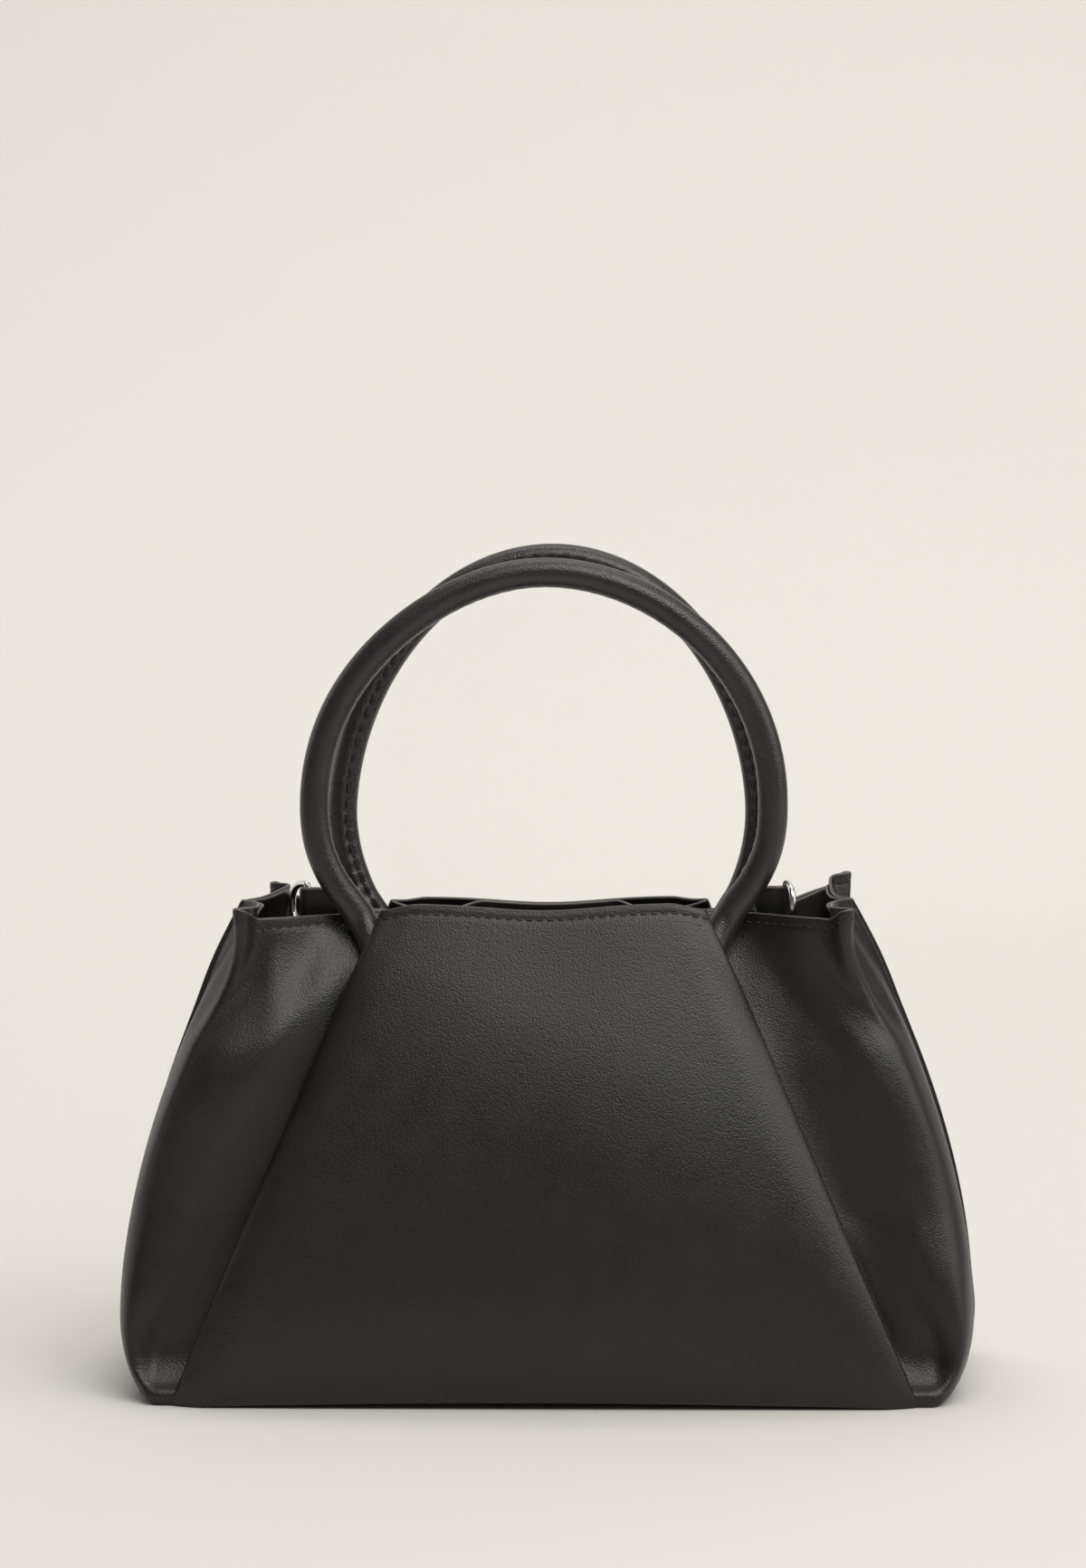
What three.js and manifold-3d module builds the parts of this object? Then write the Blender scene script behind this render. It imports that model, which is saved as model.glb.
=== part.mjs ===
// Tote bag with a folded front, pinched corners, ring handles, a zipped centre pocket and strap rings.
// Millimetres, +Z up, origin on the floor under the middle of the bag, front towards -Y.

import * as THREE from "three";
import { mergeVertices } from "three/addons/utils/BufferGeometryUtils.js";
import Module from "manifold-3d";

const wasm = await Module();
wasm.setup();

// Sheet thicknesses and clearances
const leather = 1.2;
const facingSheet = 1.0;
const liningSheet = 0.6;
const seamGap = 0.4;
const fitGap = 0.3;

// Body outline
const bodyHeight = 161;
const bodyHalfWidth = 138;
const bodyHalfDepth = 57;
const baseSideTuck = 11.5;
const baseFrontTuck = 6;
const mouthHalfWidth = 99.5;
const mouthHalfDepth = 21;
const widestHeight = 28;
const fullestHeight = 35;
const sideCurve = 1.8;
const frontCurve = 1.5;
const crownEdge = 2;
const crownMiddle = 5;
const wingDrop = 4.5;
const cornerRise = 1;
const rimEaseStart = 0.55;
const cornerLiftStart = 0.3;
const cornerLiftEnd = 0.55;

// Diagonal pleats of front and back
const foldBottomInset = 5;
const foldTopHalfWidth = 53;
const foldBow = 0.3;
const pleatDepth = 19;
const pleatStartHeight = 3;
const foldGap = 1.1;
const pleatLead = 7;
const pleatLeadLow = 2.5;
const pleatLeadHeight = 60;
const pleatStepLow = 8;
const pleatStepTop = 12;
const pleatScoopHeight = 22;
const pleatOpenHeight = 100;
const pleatOpenSpan = 50;
const foldTurnLeast = 0.42;
const foldRoll = 0.3;
const wingRollBefore = 0.45;
const wingRollAfter = 0.33;

// Pinched corners and side seams
const pinchReach = 0.5;
const pinchSpread = 13.5;
const pinchLength = 9.5;
const pinchStart = 3.5;
const pinchAngle = 0.69;
const pinchStitch = 11;
const pinchFold = 22;
const pinchFade = 38;
const wingRest = 0.52;
const finBend = 0.93;
const finBendLayer = 0.06;
const gussetTuck = 5;
const gussetTurn = 0.45;
const gussetDraw = 0.72;
const cornerRoundness = 2.4;
const toeRoundness = 4;
const toeHeight = 30;
const toeFade = 90;
const seamAllowance = 3.4;
const seamTuck = 3;
const seamTuckStart = 0.7;

// Base
const baseTurnIn = 8;
const boardThickness = 2;
const boardInset = 3.5;
const floorInset = 5.5;

// Facing and lining
const facingOverlap = 3;
const innerLead = 4;
const innerTurn = 0.6;
const innerWing = 2;

// Handles
const handleDiameter = 9.8;
const handleWall = 1.1;
const handleSlit = 0.6;
const handleSlitTurn = 0.7;
const coreDiameter = 6;
const handleFootOffset = 9.9;
const handleFootDrop = 1;
const handleTuckHeight = 18;
const frontHandleHalfWidth = 74.5;
const frontHandleRise = 109.7;
const rearHandleHalfWidth = 70.8;
const rearHandleRise = 113.4;
const frontHandleCentreRise = 33.2;
const rearHandleCentreRise = 30.3;
const handleEndDepth = 20;
const handleEndTip = 2.4;
const handleEndLean = 3;
const handleEndSlope = 0.55;
const handleEndTurn = 0.5;
const handleEndShares = [0, 0.1, 0.22, 0.4, 0.7, 1];
const handleEndWidth = 8.4;

// Centre pocket
const pocketWall = 1.0;
const pocketHalfGap = 1.8;
const pocketTopDrop = 11;
const pocketBottomInset = 14.5;
const pocketTopInset = 30.5;
const earHeight = 10;
const earWidth = 15;
const earSlope = 3;
const pocketEdgeWidth = 6;

// Zip
const tapeHeight = 14;
const tapeThickness = 0.6;
const tapeSpare = 4;
const toothPitch = 5;
const toothWidth = 2.1;
const toothHeight = 1.8;
const toothReach = 0.6;
const toothBack = 2.2;
const chainLift = 0.5;
const tapeShare = 0.4;
const zipEarGap = 5;
const zipOpenEnd = 38;
const stopLength = 1.6;
const stopHeight = 1.3;
const sliderLength = 9;
const sliderPlate = 1.2;
const sliderFlange = 1.0;
const sliderWaist = 0.9;
const lugThickness = 0.9;
const lugGap = 2.4;
const pullPin = 1.2;
const pullEye = 3.4;
const pullLength = 16;
const pullWidth = 5;
const pullThickness = 1.0;
const pullNeck = 1.2;
const pullShoulder = 1.8;

// Strap tabs and rings
const tabHeight = 11;
const tabTop = 3.5;
const tabEarInset = 1.5;
const tabNeck = 9;
const tabNeckShare = 0.45;
const tabWrap = 2.1;
const ringReach = 10.5;
const ringWire = 2.2;
const ringBow = 9;
const ringSquareness = 0.75;
const ringSwing = 75;

// Sampling of the folded sheets
const centreShares = [0, 0.26, 0.52, 0.78];
const foldSpread = [-0.19, -0.06, 0.06, 0.2];
const valleySpread = [-0.3, -0.12, 0.03, 0.19];
const cornerShares = [0, 0.22, 0.43, 0.58, 0.61, 0.63, 0.645, 0.66, 0.69, 0.73, 0.82, 0.92, 1];
const bodyRows = [0, 0.012, 0.035, 0.09, 0.19, 0.34, 0.52, 0.65, 0.75, 0.84, 0.92, 1];
const handleSteps = 20;
const coverSides = 10;
const boreSides = 6;
const coreSides = 7;
const ringSteps = 12;
const wireSides = 8;
const facingRows = [0.84, 0.92, 1];
const liningRows = [0.09, 0.19, 0.34, 0.52, 0.65, 0.75, 0.84];

// Sizes that follow from the ones above
const baseHalfWidth = bodyHalfWidth - baseSideTuck;
const baseHalfDepth = bodyHalfDepth - baseFrontTuck;
const foldBottomHalfWidth = baseHalfWidth - foldBottomInset;
const pinchHalfWidth = mouthHalfWidth + pinchReach;
const pinchHalfDepth = mouthHalfDepth + pinchSpread;
const handleFootHalfSpan = foldTopHalfWidth + handleFootOffset;
const pocketBottomHalfWidth = baseHalfWidth - pocketBottomInset;
const pocketTopHalfWidth = mouthHalfWidth - pocketTopInset;
const earInner = pocketTopHalfWidth - earWidth;
const zipCloseEnd = earInner - earSlope - zipEarGap;
const tapeHalfLength = Math.max(zipCloseEnd, zipOpenEnd) + tapeSpare;
const tabInnerEnd = earInner + tabEarInset;
const ringBarHalfSpan = pocketTopHalfWidth + ringReach;

// Materials
function finish(colour, roughness, metalness) {
  return new THREE.MeshStandardMaterial({ color: colour, roughness, metalness });
}

const leatherColour = 0x1a1918;
const liningColour = 0x121212;
const cordColour = 0xd8d2c4;
const boardColour = 0x3a3733;
const tapeColour = 0x151515;
const metalColour = 0xc9c9c6;

const bag = new THREE.Group();

function addPiece(name, geometry, material, parent = bag) {
  const mesh = new THREE.Mesh(geometry, material);
  mesh.name = name;
  parent.add(mesh);
  return mesh;
}

// Small helpers
function smooth(from, to, value) {
  const share = Math.min(1, Math.max(0, (value - from) / (to - from)));
  return share * share * (3 - 2 * share);
}

function mix(a, b, share) {
  return a + (b - a) * share;
}

function mixPoint(a, b, share) {
  return { x: mix(a.x, b.x, share), y: mix(a.y, b.y, share) };
}

// Joining and cutting of closed solids
function toSolid(geometry) {
  const bare = geometry.clone();
  bare.deleteAttribute("normal");
  bare.deleteAttribute("uv");
  const merged = mergeVertices(bare, 1e-4);
  const mesh = new wasm.Mesh({
    numProp: 3,
    vertProperties: new Float32Array(merged.attributes.position.array),
    triVerts: new Uint32Array(merged.index.array),
  });
  return new wasm.Manifold(mesh);
}

function toGeometry(solid) {
  const mesh = solid.getMesh();
  const geometry = new THREE.BufferGeometry();
  geometry.setAttribute("position", new THREE.BufferAttribute(new Float32Array(mesh.vertProperties), 3));
  geometry.setIndex(new THREE.BufferAttribute(new Uint32Array(mesh.triVerts), 1));
  geometry.computeVertexNormals();
  return geometry;
}

function joined(pieces) {
  return toGeometry(pieces.map(toSolid).reduce((whole, piece) => whole.add(piece)));
}

// Closed sheet of one thickness around a grid of middle points: rows go up, columns go to the right
function sheetSolid(rows, thickness) {
  const rowCount = rows.length;
  const columnCount = rows[0].length;
  const positions = [];
  const along = new THREE.Vector3();
  const up = new THREE.Vector3();
  for (const side of [0.5, -0.5]) {
    for (let r = 0; r < rowCount; r += 1) {
      for (let c = 0; c < columnCount; c += 1) {
        along.subVectors(rows[r][Math.min(c + 1, columnCount - 1)], rows[r][Math.max(c - 1, 0)]).normalize();
        up.subVectors(rows[Math.min(r + 1, rowCount - 1)][c], rows[Math.max(r - 1, 0)][c]).normalize();
        const out = new THREE.Vector3().crossVectors(along, up).normalize();
        const point = rows[r][c].clone().addScaledVector(out, side * thickness);
        positions.push(point.x, point.y, point.z);
      }
    }
  }
  const inner = rowCount * columnCount;
  const at = (r, c, offset) => offset + r * columnCount + c;
  const index = [];
  const quad = (a, b, c, d) => index.push(a, b, c, a, c, d);
  for (let r = 0; r < rowCount - 1; r += 1) {
    for (let c = 0; c < columnCount - 1; c += 1) {
      quad(at(r, c, 0), at(r, c + 1, 0), at(r + 1, c + 1, 0), at(r + 1, c, 0));
      quad(at(r, c, inner), at(r + 1, c, inner), at(r + 1, c + 1, inner), at(r, c + 1, inner));
    }
  }
  for (let c = 0; c < columnCount - 1; c += 1) {
    quad(at(0, c, inner), at(0, c + 1, inner), at(0, c + 1, 0), at(0, c, 0));
    const r = rowCount - 1;
    quad(at(r, c, 0), at(r, c + 1, 0), at(r, c + 1, inner), at(r, c, inner));
  }
  for (let r = 0; r < rowCount - 1; r += 1) {
    quad(at(r, 0, 0), at(r + 1, 0, 0), at(r + 1, 0, inner), at(r, 0, inner));
    const c = columnCount - 1;
    quad(at(r, c, inner), at(r + 1, c, inner), at(r + 1, c, 0), at(r, c, 0));
  }
  const geometry = new THREE.BufferGeometry();
  geometry.setAttribute("position", new THREE.Float32BufferAttribute(positions, 3));
  geometry.setIndex(index);
  geometry.computeVertexNormals();
  return geometry;
}

// Closed solid through a stack of rings that all have the same number of points, lowest ring first
function loftSolid(rings) {
  const count = rings[0].length;
  const positions = [];
  const index = [];
  for (const ring of rings) {
    for (const point of ring) {
      positions.push(point.x, point.y, point.z);
    }
  }
  for (let r = 0; r < rings.length - 1; r += 1) {
    for (let c = 0; c < count; c += 1) {
      const a = r * count + c;
      const b = r * count + ((c + 1) % count);
      index.push(a, b, b + count, a, b + count, a + count);
    }
  }
  const top = (rings.length - 1) * count;
  for (let c = 1; c < count - 1; c += 1) {
    index.push(0, c + 1, c, top, top + c, top + c + 1);
  }
  const geometry = new THREE.BufferGeometry();
  geometry.setAttribute("position", new THREE.Float32BufferAttribute(positions, 3));
  geometry.setIndex(index);
  geometry.computeVertexNormals();
  return geometry;
}

function roundRing(sides, place) {
  const ring = [];
  for (let i = 0; i < sides; i += 1) {
    const angle = (2 * Math.PI * (i + 0.5)) / sides;
    ring.push(place(Math.cos(angle), Math.sin(angle)));
  }
  return ring;
}

// Flat outline given as points, raised by a depth
function raisedOutline(points, depth) {
  const shape = new THREE.Shape(points.map((point) => new THREE.Vector2(point.x, point.y)));
  return new THREE.ExtrudeGeometry(shape, { depth, bevelEnabled: false });
}

// Body form: how far the sides, the front and the fold line reach at a height
function sideReach(z) {
  if (z < widestHeight) {
    const share = 1 - z / widestHeight;
    return baseHalfWidth + (bodyHalfWidth - baseHalfWidth) * Math.sqrt(Math.max(0, 1 - share * share));
  }
  const share = (z - widestHeight) / (bodyHeight - widestHeight);
  return bodyHalfWidth - (bodyHalfWidth - mouthHalfWidth) * share ** sideCurve;
}

function frontReach(z) {
  if (z < fullestHeight) {
    const share = 1 - z / fullestHeight;
    return baseHalfDepth + (bodyHalfDepth - baseHalfDepth) * Math.sqrt(Math.max(0, 1 - share * share));
  }
  const share = (z - fullestHeight) / (bodyHeight - fullestHeight);
  return bodyHalfDepth - (bodyHalfDepth - mouthHalfDepth) * share ** frontCurve;
}

function foldReach(z) {
  const share = z / bodyHeight;
  const bow = 4 * foldBow * share * (1 - share);
  return mix(foldBottomHalfWidth, foldTopHalfWidth, share) + bow;
}

function overlapDepth(z) {
  return pleatDepth * Math.max(0, (z - pleatStartHeight) / (bodyHeight - pleatStartHeight));
}

function wingStep(z) {
  const scoop = smooth(1, pleatScoopHeight, z);
  const open = smooth(pleatOpenHeight, pleatOpenHeight + pleatOpenSpan, z);
  return pleatStepLow * scoop + (pleatStepTop - pleatStepLow) * open;
}

function leadAt(z) {
  return mix(pleatLeadLow, pleatLead, smooth(0, pleatLeadHeight, z));
}

function returnStep(z) {
  return Math.min(leather + foldGap, wingStep(z) / 2);
}

function centreFace(x, z) {
  const crown = crownEdge + crownMiddle * Math.sin((Math.PI * z) / bodyHeight);
  return frontReach(z) - crown * (x / foldReach(z)) ** 2;
}

// The S of a pleat in plan: out to the fold, back behind it and out again along the wing
function pleatLine(z) {
  const depth = overlapDepth(z);
  const fold = foldReach(z);
  const half = leadAt(z) - depth / 2;
  let low = Math.max(0, -2 * half);
  let high = 400;
  for (let pass = 0; pass < 50; pass += 1) {
    const middle = (low + high) / 2;
    const reach = 0.5 * middle * Math.sqrt(middle / (3 * middle + 4 * half + 1e-9));
    if (reach > depth / 2) {
      high = middle;
    } else {
      low = middle;
    }
  }
  const pull = low + 2 * half;
  const turn = Math.max(foldTurnLeast, Math.sqrt(low / (3 * low + 4 * half + 1e-9)));
  const steps = [
    -1,
    ...foldSpread.map((shift) => shift - turn),
    0,
    ...valleySpread.map((shift) => shift + turn),
    1,
  ];
  const centre = fold - depth / 2;
  const face = centreFace(fold - leadAt(z), z);
  const back = returnStep(z);
  return steps.map((s) => {
    const x = centre + 0.75 * s * (2 * half - pull) + 0.25 * s ** 3 * (3 * pull - 2 * half);
    const behind = back * smooth(-turn - foldRoll, -turn + foldRoll, s);
    const outward = smooth(turn - wingRollBefore, turn + wingRollAfter, s);
    const step = behind + (wingStep(z) - back) * outward;
    return { x, y: -(face - step), share: smooth(-turn, 1, s) };
  });
}

// Wing, corner and gusset in plan: a round corner low down that closes to a pinched fin at the rim
function cornerLine(z) {
  const face = centreFace(foldReach(z) - leadAt(z), z);
  const start = { x: foldReach(z) - overlapDepth(z) + leadAt(z), y: -(face - wingStep(z)) };
  const drawnIn = seamTuck * smooth(0, widestHeight, z);
  const seam = { x: sideReach(z) - drawnIn, y: -(leather / 2 + seamGap + fitGap) };
  const power = 2 / mix(toeRoundness, cornerRoundness, smooth(toeHeight, toeHeight + toeFade, z));
  const round = cornerShares.map((share) => {
    const angle = (share * Math.PI) / 2;
    const across = Math.abs(Math.sin(angle)) ** power;
    const along = Math.abs(Math.cos(angle)) ** power;
    const reach = sideReach(z) - drawnIn * smooth(seamTuckStart, 1, share);
    return { x: mix(start.x, reach, across), y: mix(seam.y, start.y, along) };
  });
  const tip = { x: pinchHalfWidth, y: -pinchHalfDepth };
  const folded = smooth(bodyHeight - pinchFold - pinchStitch, bodyHeight - pinchStitch, z);
  const length = mix(pinchStart, pinchLength, folded);
  const foot = { x: tip.x - length * Math.cos(pinchAngle), y: tip.y + length * Math.sin(pinchAngle) };
  const spread = leather + seamGap + fitGap;
  const fin = (share, layer) => ({
    x: mix(foot.x, tip.x, share) + layer * spread * Math.sin(pinchAngle),
    y: mix(foot.y, tip.y, share) + layer * spread * Math.cos(pinchAngle),
  });
  const nest = { x: handleFootHalfSpan + handleDiameter / 2 + seamGap, y: start.y - seamGap };
  const valley = { x: seam.x - gussetTuck, y: -pinchHalfDepth / 2 };
  const pinched = [
    start,
    nest,
    mixPoint(nest, foot, wingRest),
    foot,
    fin(0.5, 0),
    fin(finBend, finBendLayer),
    fin(1, 0.5),
    fin(finBend, 1 - finBendLayer),
    fin(0.5, 1),
    fin(0, 1),
    valley,
    { x: mix(valley.x, seam.x, gussetTurn), y: mix(valley.y, seam.y, gussetDraw) },
    seam,
  ];
  const closed = smooth(bodyHeight - pinchFade - pinchStitch, bodyHeight - pinchStitch, z);
  return round.map((point, i) => mixPoint(point, pinched[i], closed));
}

// Height of the rim above or below the centre panel's edge, eased in over the upper body
function rimRise(z, wingShare, cornerShare) {
  const ease = smooth(bodyHeight * rimEaseStart, bodyHeight, z);
  return ease * (cornerShare * cornerRise - wingShare * (1 - cornerShare) * wingDrop);
}

function cornerLift(share) {
  return smooth(cornerLiftStart, cornerLiftEnd, share);
}

// One row of the folded panel, from the middle to the right seam
function panelHalfRow(z) {
  const points = [];
  const lead = foldReach(z) - leadAt(z);
  for (const share of centreShares) {
    points.push({ x: share * lead, y: -centreFace(share * lead, z), rise: 0 });
  }
  for (const point of pleatLine(z)) {
    points.push({ x: point.x, y: point.y, rise: rimRise(z, point.share, 0) });
  }
  cornerLine(z).slice(1).forEach((point, i) => {
    points.push({ ...point, rise: rimRise(z, 1, cornerLift(cornerShares[i + 1])) });
  });
  const seam = points[points.length - 1];
  const flange = seamAllowance * smooth(0, widestHeight, z) + leather;
  const lip = -(leather / 2 + seamGap / 2);
  points.push({ x: seam.x + leather / 2, y: lip, rise: seam.rise });
  points.push({ x: seam.x + leather / 2 + flange, y: lip, rise: seam.rise });
  return points;
}

function fullRow(half, height) {
  const place = (side) => (point) => new THREE.Vector3(side * point.x, point.y, height + (point.rise ?? 0));
  const left = half.slice(1).reverse().map(place(-1));
  return [...left, ...half.map(place(1))];
}

// Outer panels
function panelGeometry() {
  const turned = panelHalfRow(0).map((point) => ({
    x: point.x * (1 - baseTurnIn / baseHalfWidth),
    y: point.y * (1 - baseTurnIn / baseHalfDepth),
  }));
  const rows = [fullRow(turned, leather / 2)];
  for (const share of bodyRows) {
    const z = share * bodyHeight;
    rows.push(fullRow(panelHalfRow(z), Math.max(z, leather / 2)));
  }
  return sheetSolid(rows, leather);
}

// Line inside the folded panel at a distance from it, passing behind the pleat and across the pinched fin
function innerHalfRow(z, distance) {
  const valley = foldReach(z) - overlapDepth(z);
  const turn = valley - distance - leather;
  const face = centreFace(foldReach(z) - leadAt(z), z);
  const wing = face - wingStep(z) - distance;
  const flat = turn - innerLead;
  const points = [0, 0.5, 1].map((share) => {
    const x = share * flat;
    return { x, y: -(centreFace(x, z) - distance), rise: 0 };
  });
  const last = -points[2].y;
  points.push({ x: turn - innerTurn, y: -mix(last, wing, 0.25), rise: rimRise(z, 0.3, 0) });
  points.push({ x: turn, y: -mix(last, wing, 0.7), rise: rimRise(z, 0.7, 0) });
  points.push({ x: turn + innerWing, y: -wing, rise: rimRise(z, 1, 0) });
  const corner = cornerLine(z);
  const finFoot = mixPoint(corner[3], corner[9], 0.5);
  const line = [...corner.slice(0, 3), finFoot, ...corner.slice(10)];
  const shares = [...cornerShares.slice(0, 4), ...cornerShares.slice(10)];
  line.forEach((point, i) => {
    const before = line[Math.max(0, i - 1)];
    const after = line[Math.min(line.length - 1, i + 1)];
    const length = Math.hypot(after.x - before.x, after.y - before.y);
    const normal = { x: -(after.y - before.y) / length, y: (after.x - before.x) / length };
    points.push({
      x: point.x + normal.x * distance,
      y: Math.min(point.y + normal.y * distance, -seamGap - fitGap),
      rise: rimRise(z, 1, cornerLift(shares[i])),
    });
  });
  return points;
}

const facingDistance = leather / 2 + seamGap + facingSheet / 2;
const liningDistance = facingDistance + facingSheet / 2 + 2 * seamGap + liningSheet / 2;
const boardBottom = leather + fitGap;
const floorBottom = boardBottom + boardThickness + fitGap;
const liningBottom = floorBottom + liningSheet + fitGap;

// Facing behind the rim
function facingGeometry() {
  const rows = facingRows.map((share) => {
    const z = share * bodyHeight;
    return fullRow(innerHalfRow(z, facingDistance), share < 1 ? z : z - fitGap);
  });
  return sheetSolid(rows, facingSheet);
}

// Lining wall below the facing
function liningGeometry() {
  const rowAt = (z) => fullRow(innerHalfRow(z, liningDistance), z);
  const rows = [rowAt(liningBottom)];
  for (const share of liningRows) {
    rows.push(rowAt(share * bodyHeight));
  }
  const next = rowAt(facingRows[1] * bodyHeight);
  const step = facingOverlap / ((facingRows[1] - facingRows[0]) * bodyHeight);
  rows.push(rows[rows.length - 1].map((point, i) => point.clone().lerp(next[i], step)));
  return sheetSolid(rows, liningSheet);
}

// Closed plan outline of the base, drawn in by a distance
function baseOutline(inset) {
  const line = [{ x: 0, y: -baseHalfDepth }, ...cornerLine(0)];
  const half = line.map((point) => ({
    x: point.x * (1 - inset / baseHalfWidth),
    y: point.y * (1 - inset / baseHalfDepth),
  }));
  const right = [...half, ...half.slice().reverse().map((point) => ({ x: point.x, y: -point.y }))];
  const left = right.slice(1, -1).reverse().map((point) => ({ x: -point.x, y: point.y }));
  return [...right, ...left];
}

function buildBody() {
  const skin = panelGeometry();
  addPiece("front_panel", skin, finish(leatherColour, 0.5, 0));
  addPiece("back_panel", skin.clone(), finish(leatherColour, 0.5, 0)).rotation.z = Math.PI;
  const facing = facingGeometry();
  addPiece("front_facing", facing, finish(leatherColour, 0.6, 0));
  addPiece("back_facing", facing.clone(), finish(leatherColour, 0.6, 0)).rotation.z = Math.PI;
  const lining = liningGeometry();
  addPiece("front_lining", lining, finish(liningColour, 0.9, 0));
  addPiece("back_lining", lining.clone(), finish(liningColour, 0.9, 0)).rotation.z = Math.PI;
  const base = raisedOutline(baseOutline(baseTurnIn + seamGap), leather);
  addPiece("base_panel", base, finish(leatherColour, 0.5, 0));
  const board = raisedOutline(baseOutline(boardInset), boardThickness);
  addPiece("base_board", board, finish(boardColour, 0.8, 0)).position.z = boardBottom;
  const floor = raisedOutline(baseOutline(floorInset), liningSheet);
  addPiece("lining_floor", floor, finish(liningColour, 0.9, 0)).position.z = floorBottom;
}

// Handle curve: an upright ring whose feet draw in towards the pleats
class HandleCurve extends THREE.Curve {
  constructor(halfWidth, rise, centreRise, depth) {
    super();
    this.halfWidth = halfWidth;
    this.height = rise - centreRise;
    this.centreRise = centreRise;
    this.depth = depth;
    this.sweep = Math.PI - Math.acos(Math.min(1, centreRise / this.height));
    this.footReach = halfWidth * Math.sin(this.sweep);
  }

  getPoint(share, target = new THREE.Vector3()) {
    const angle = mix(-this.sweep, this.sweep, share);
    const z = this.centreRise + this.height * Math.cos(angle);
    const low = Math.max(0, 1 - z / handleTuckHeight);
    const drawIn = (this.footReach - handleFootHalfSpan) * low * low;
    const x = this.halfWidth * Math.sin(angle) - Math.sign(angle) * drawIn;
    return target.set(x, this.depth, footHeight + z);
  }
}

const footHeight = bodyHeight - handleFootDrop;
const handleRadius = handleDiameter / 2;
const footDepth = centreFace(foldTopHalfWidth, footHeight) - leather / 2 - handleRadius - fitGap;

// Rolled cover in section: a ring open at the sewn seam
function coverShape(turn) {
  const outer = handleRadius;
  const bore = handleRadius - handleWall;
  const outerHalf = Math.asin(handleSlit / 2 / outer);
  const boreHalf = Math.asin(handleSlit / 2 / bore);
  const points = [];
  for (let i = 0; i <= coverSides; i += 1) {
    const angle = turn + mix(outerHalf, 2 * Math.PI - outerHalf, i / coverSides);
    points.push(new THREE.Vector2(outer * Math.cos(angle), outer * Math.sin(angle)));
  }
  for (let i = boreSides; i >= 0; i -= 1) {
    const angle = turn + mix(boreHalf, 2 * Math.PI - boreHalf, i / boreSides);
    points.push(new THREE.Vector2(bore * Math.cos(angle), bore * Math.sin(angle)));
  }
  return new THREE.Shape(points);
}

function roundShape(radius, sides) {
  return new THREE.Shape(roundRing(sides, (x, y) => new THREE.Vector2(radius * x, radius * y)));
}

function tubeAlong(section, path, steps) {
  return new THREE.ExtrudeGeometry(section, { steps, extrudePath: path, bevelEnabled: false });
}

// Part of a curve between two shares of it
class CurveSpan extends THREE.Curve {
  constructor(whole, from, to) {
    super();
    this.whole = whole;
    this.from = from;
    this.to = to;
  }

  getPoint(share, target = new THREE.Vector3()) {
    return this.whole.getPointAt(mix(this.from, this.to, share), target);
  }
}

function footBall(curve, share) {
  const ball = new THREE.SphereGeometry(handleRadius, 8, 6);
  const centre = curve.getPoint(share);
  ball.translate(centre.x, centre.y, centre.z);
  return ball;
}

function buildHandle(name, curve, slitTurn) {
  const cover = tubeAlong(coverShape(slitTurn), curve, handleSteps);
  const whole = joined([cover, footBall(curve, 0), footBall(curve, 1)]);
  addPiece(`${name}_cover`, whole, finish(leatherColour, 0.5, 0));
  const span = new CurveSpan(curve, 1 / handleSteps, 1 - 1 / handleSteps);
  const core = tubeAlong(roundShape(coreDiameter / 2, coreSides), span, handleSteps - 2);
  addPiece(`${name}_core`, core, finish(cordColour, 0.9, 0));
}

// Handle end below the foot, which fills the pleat between the folded edge and the wing
function handleEndGeometry() {
  const slotMiddle = (z) => -(centreFace(foldReach(z) - leadAt(z), z) - (returnStep(z) + wingStep(z)) / 2);
  const slotHalf = (z) => (wingStep(z) - returnStep(z) - leather) / 2 - seamGap;
  const start = handleRadius + fitGap;
  const topX = handleFootHalfSpan - start * handleEndSlope;
  const topZ = footHeight - start * Math.sqrt(1 - handleEndSlope ** 2);
  const rings = handleEndShares.map((share) => {
    const z = mix(topZ, topZ - handleEndDepth, share);
    const x = topX - handleEndLean * (1 - (1 - share) ** 2);
    const turned = smooth(0, handleEndTurn, share);
    const y = mix(-footDepth, slotMiddle(z), turned);
    const tilt = mix(Math.asin(handleEndSlope), 0, share);
    const halfWidth = mix(handleEndTip, handleEndWidth, turned) / 2;
    const halfThickness = mix(handleEndTip / 2, slotHalf(z), turned);
    return roundRing(coverSides, (across, through) => new THREE.Vector3(
      x + across * halfWidth * Math.cos(tilt),
      y + through * halfThickness,
      z - across * halfWidth * Math.sin(tilt),
    ));
  });
  return loftSolid(rings.reverse());
}

function buildHandles() {
  const front = new HandleCurve(frontHandleHalfWidth, frontHandleRise, frontHandleCentreRise, -footDepth);
  const rear = new HandleCurve(rearHandleHalfWidth, rearHandleRise, rearHandleCentreRise, footDepth);
  buildHandle("front_handle", front, Math.PI - handleSlitTurn);
  buildHandle("rear_handle", rear, handleSlitTurn);
  const right = handleEndGeometry();
  const left = mirrored(right, -1, 1);
  addPiece("front_right_handle_end", right, finish(leatherColour, 0.5, 0));
  addPiece("front_left_handle_end", left, finish(leatherColour, 0.5, 0));
  addPiece("rear_left_handle_end", right.clone(), finish(leatherColour, 0.5, 0)).rotation.z = Math.PI;
  addPiece("rear_right_handle_end", left.clone(), finish(leatherColour, 0.5, 0)).rotation.z = Math.PI;
}

// A mirrored copy has its triangles turned round so that its faces still point out
function mirrored(geometry, x, y) {
  const copy = geometry.clone().applyMatrix4(new THREE.Matrix4().makeScale(x, y, 1));
  const index = copy.index.array;
  for (let i = 0; i < index.length; i += 3) {
    const second = index[i + 1];
    index[i + 1] = index[i + 2];
    index[i + 2] = second;
  }
  copy.computeVertexNormals();
  return copy;
}

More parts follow.
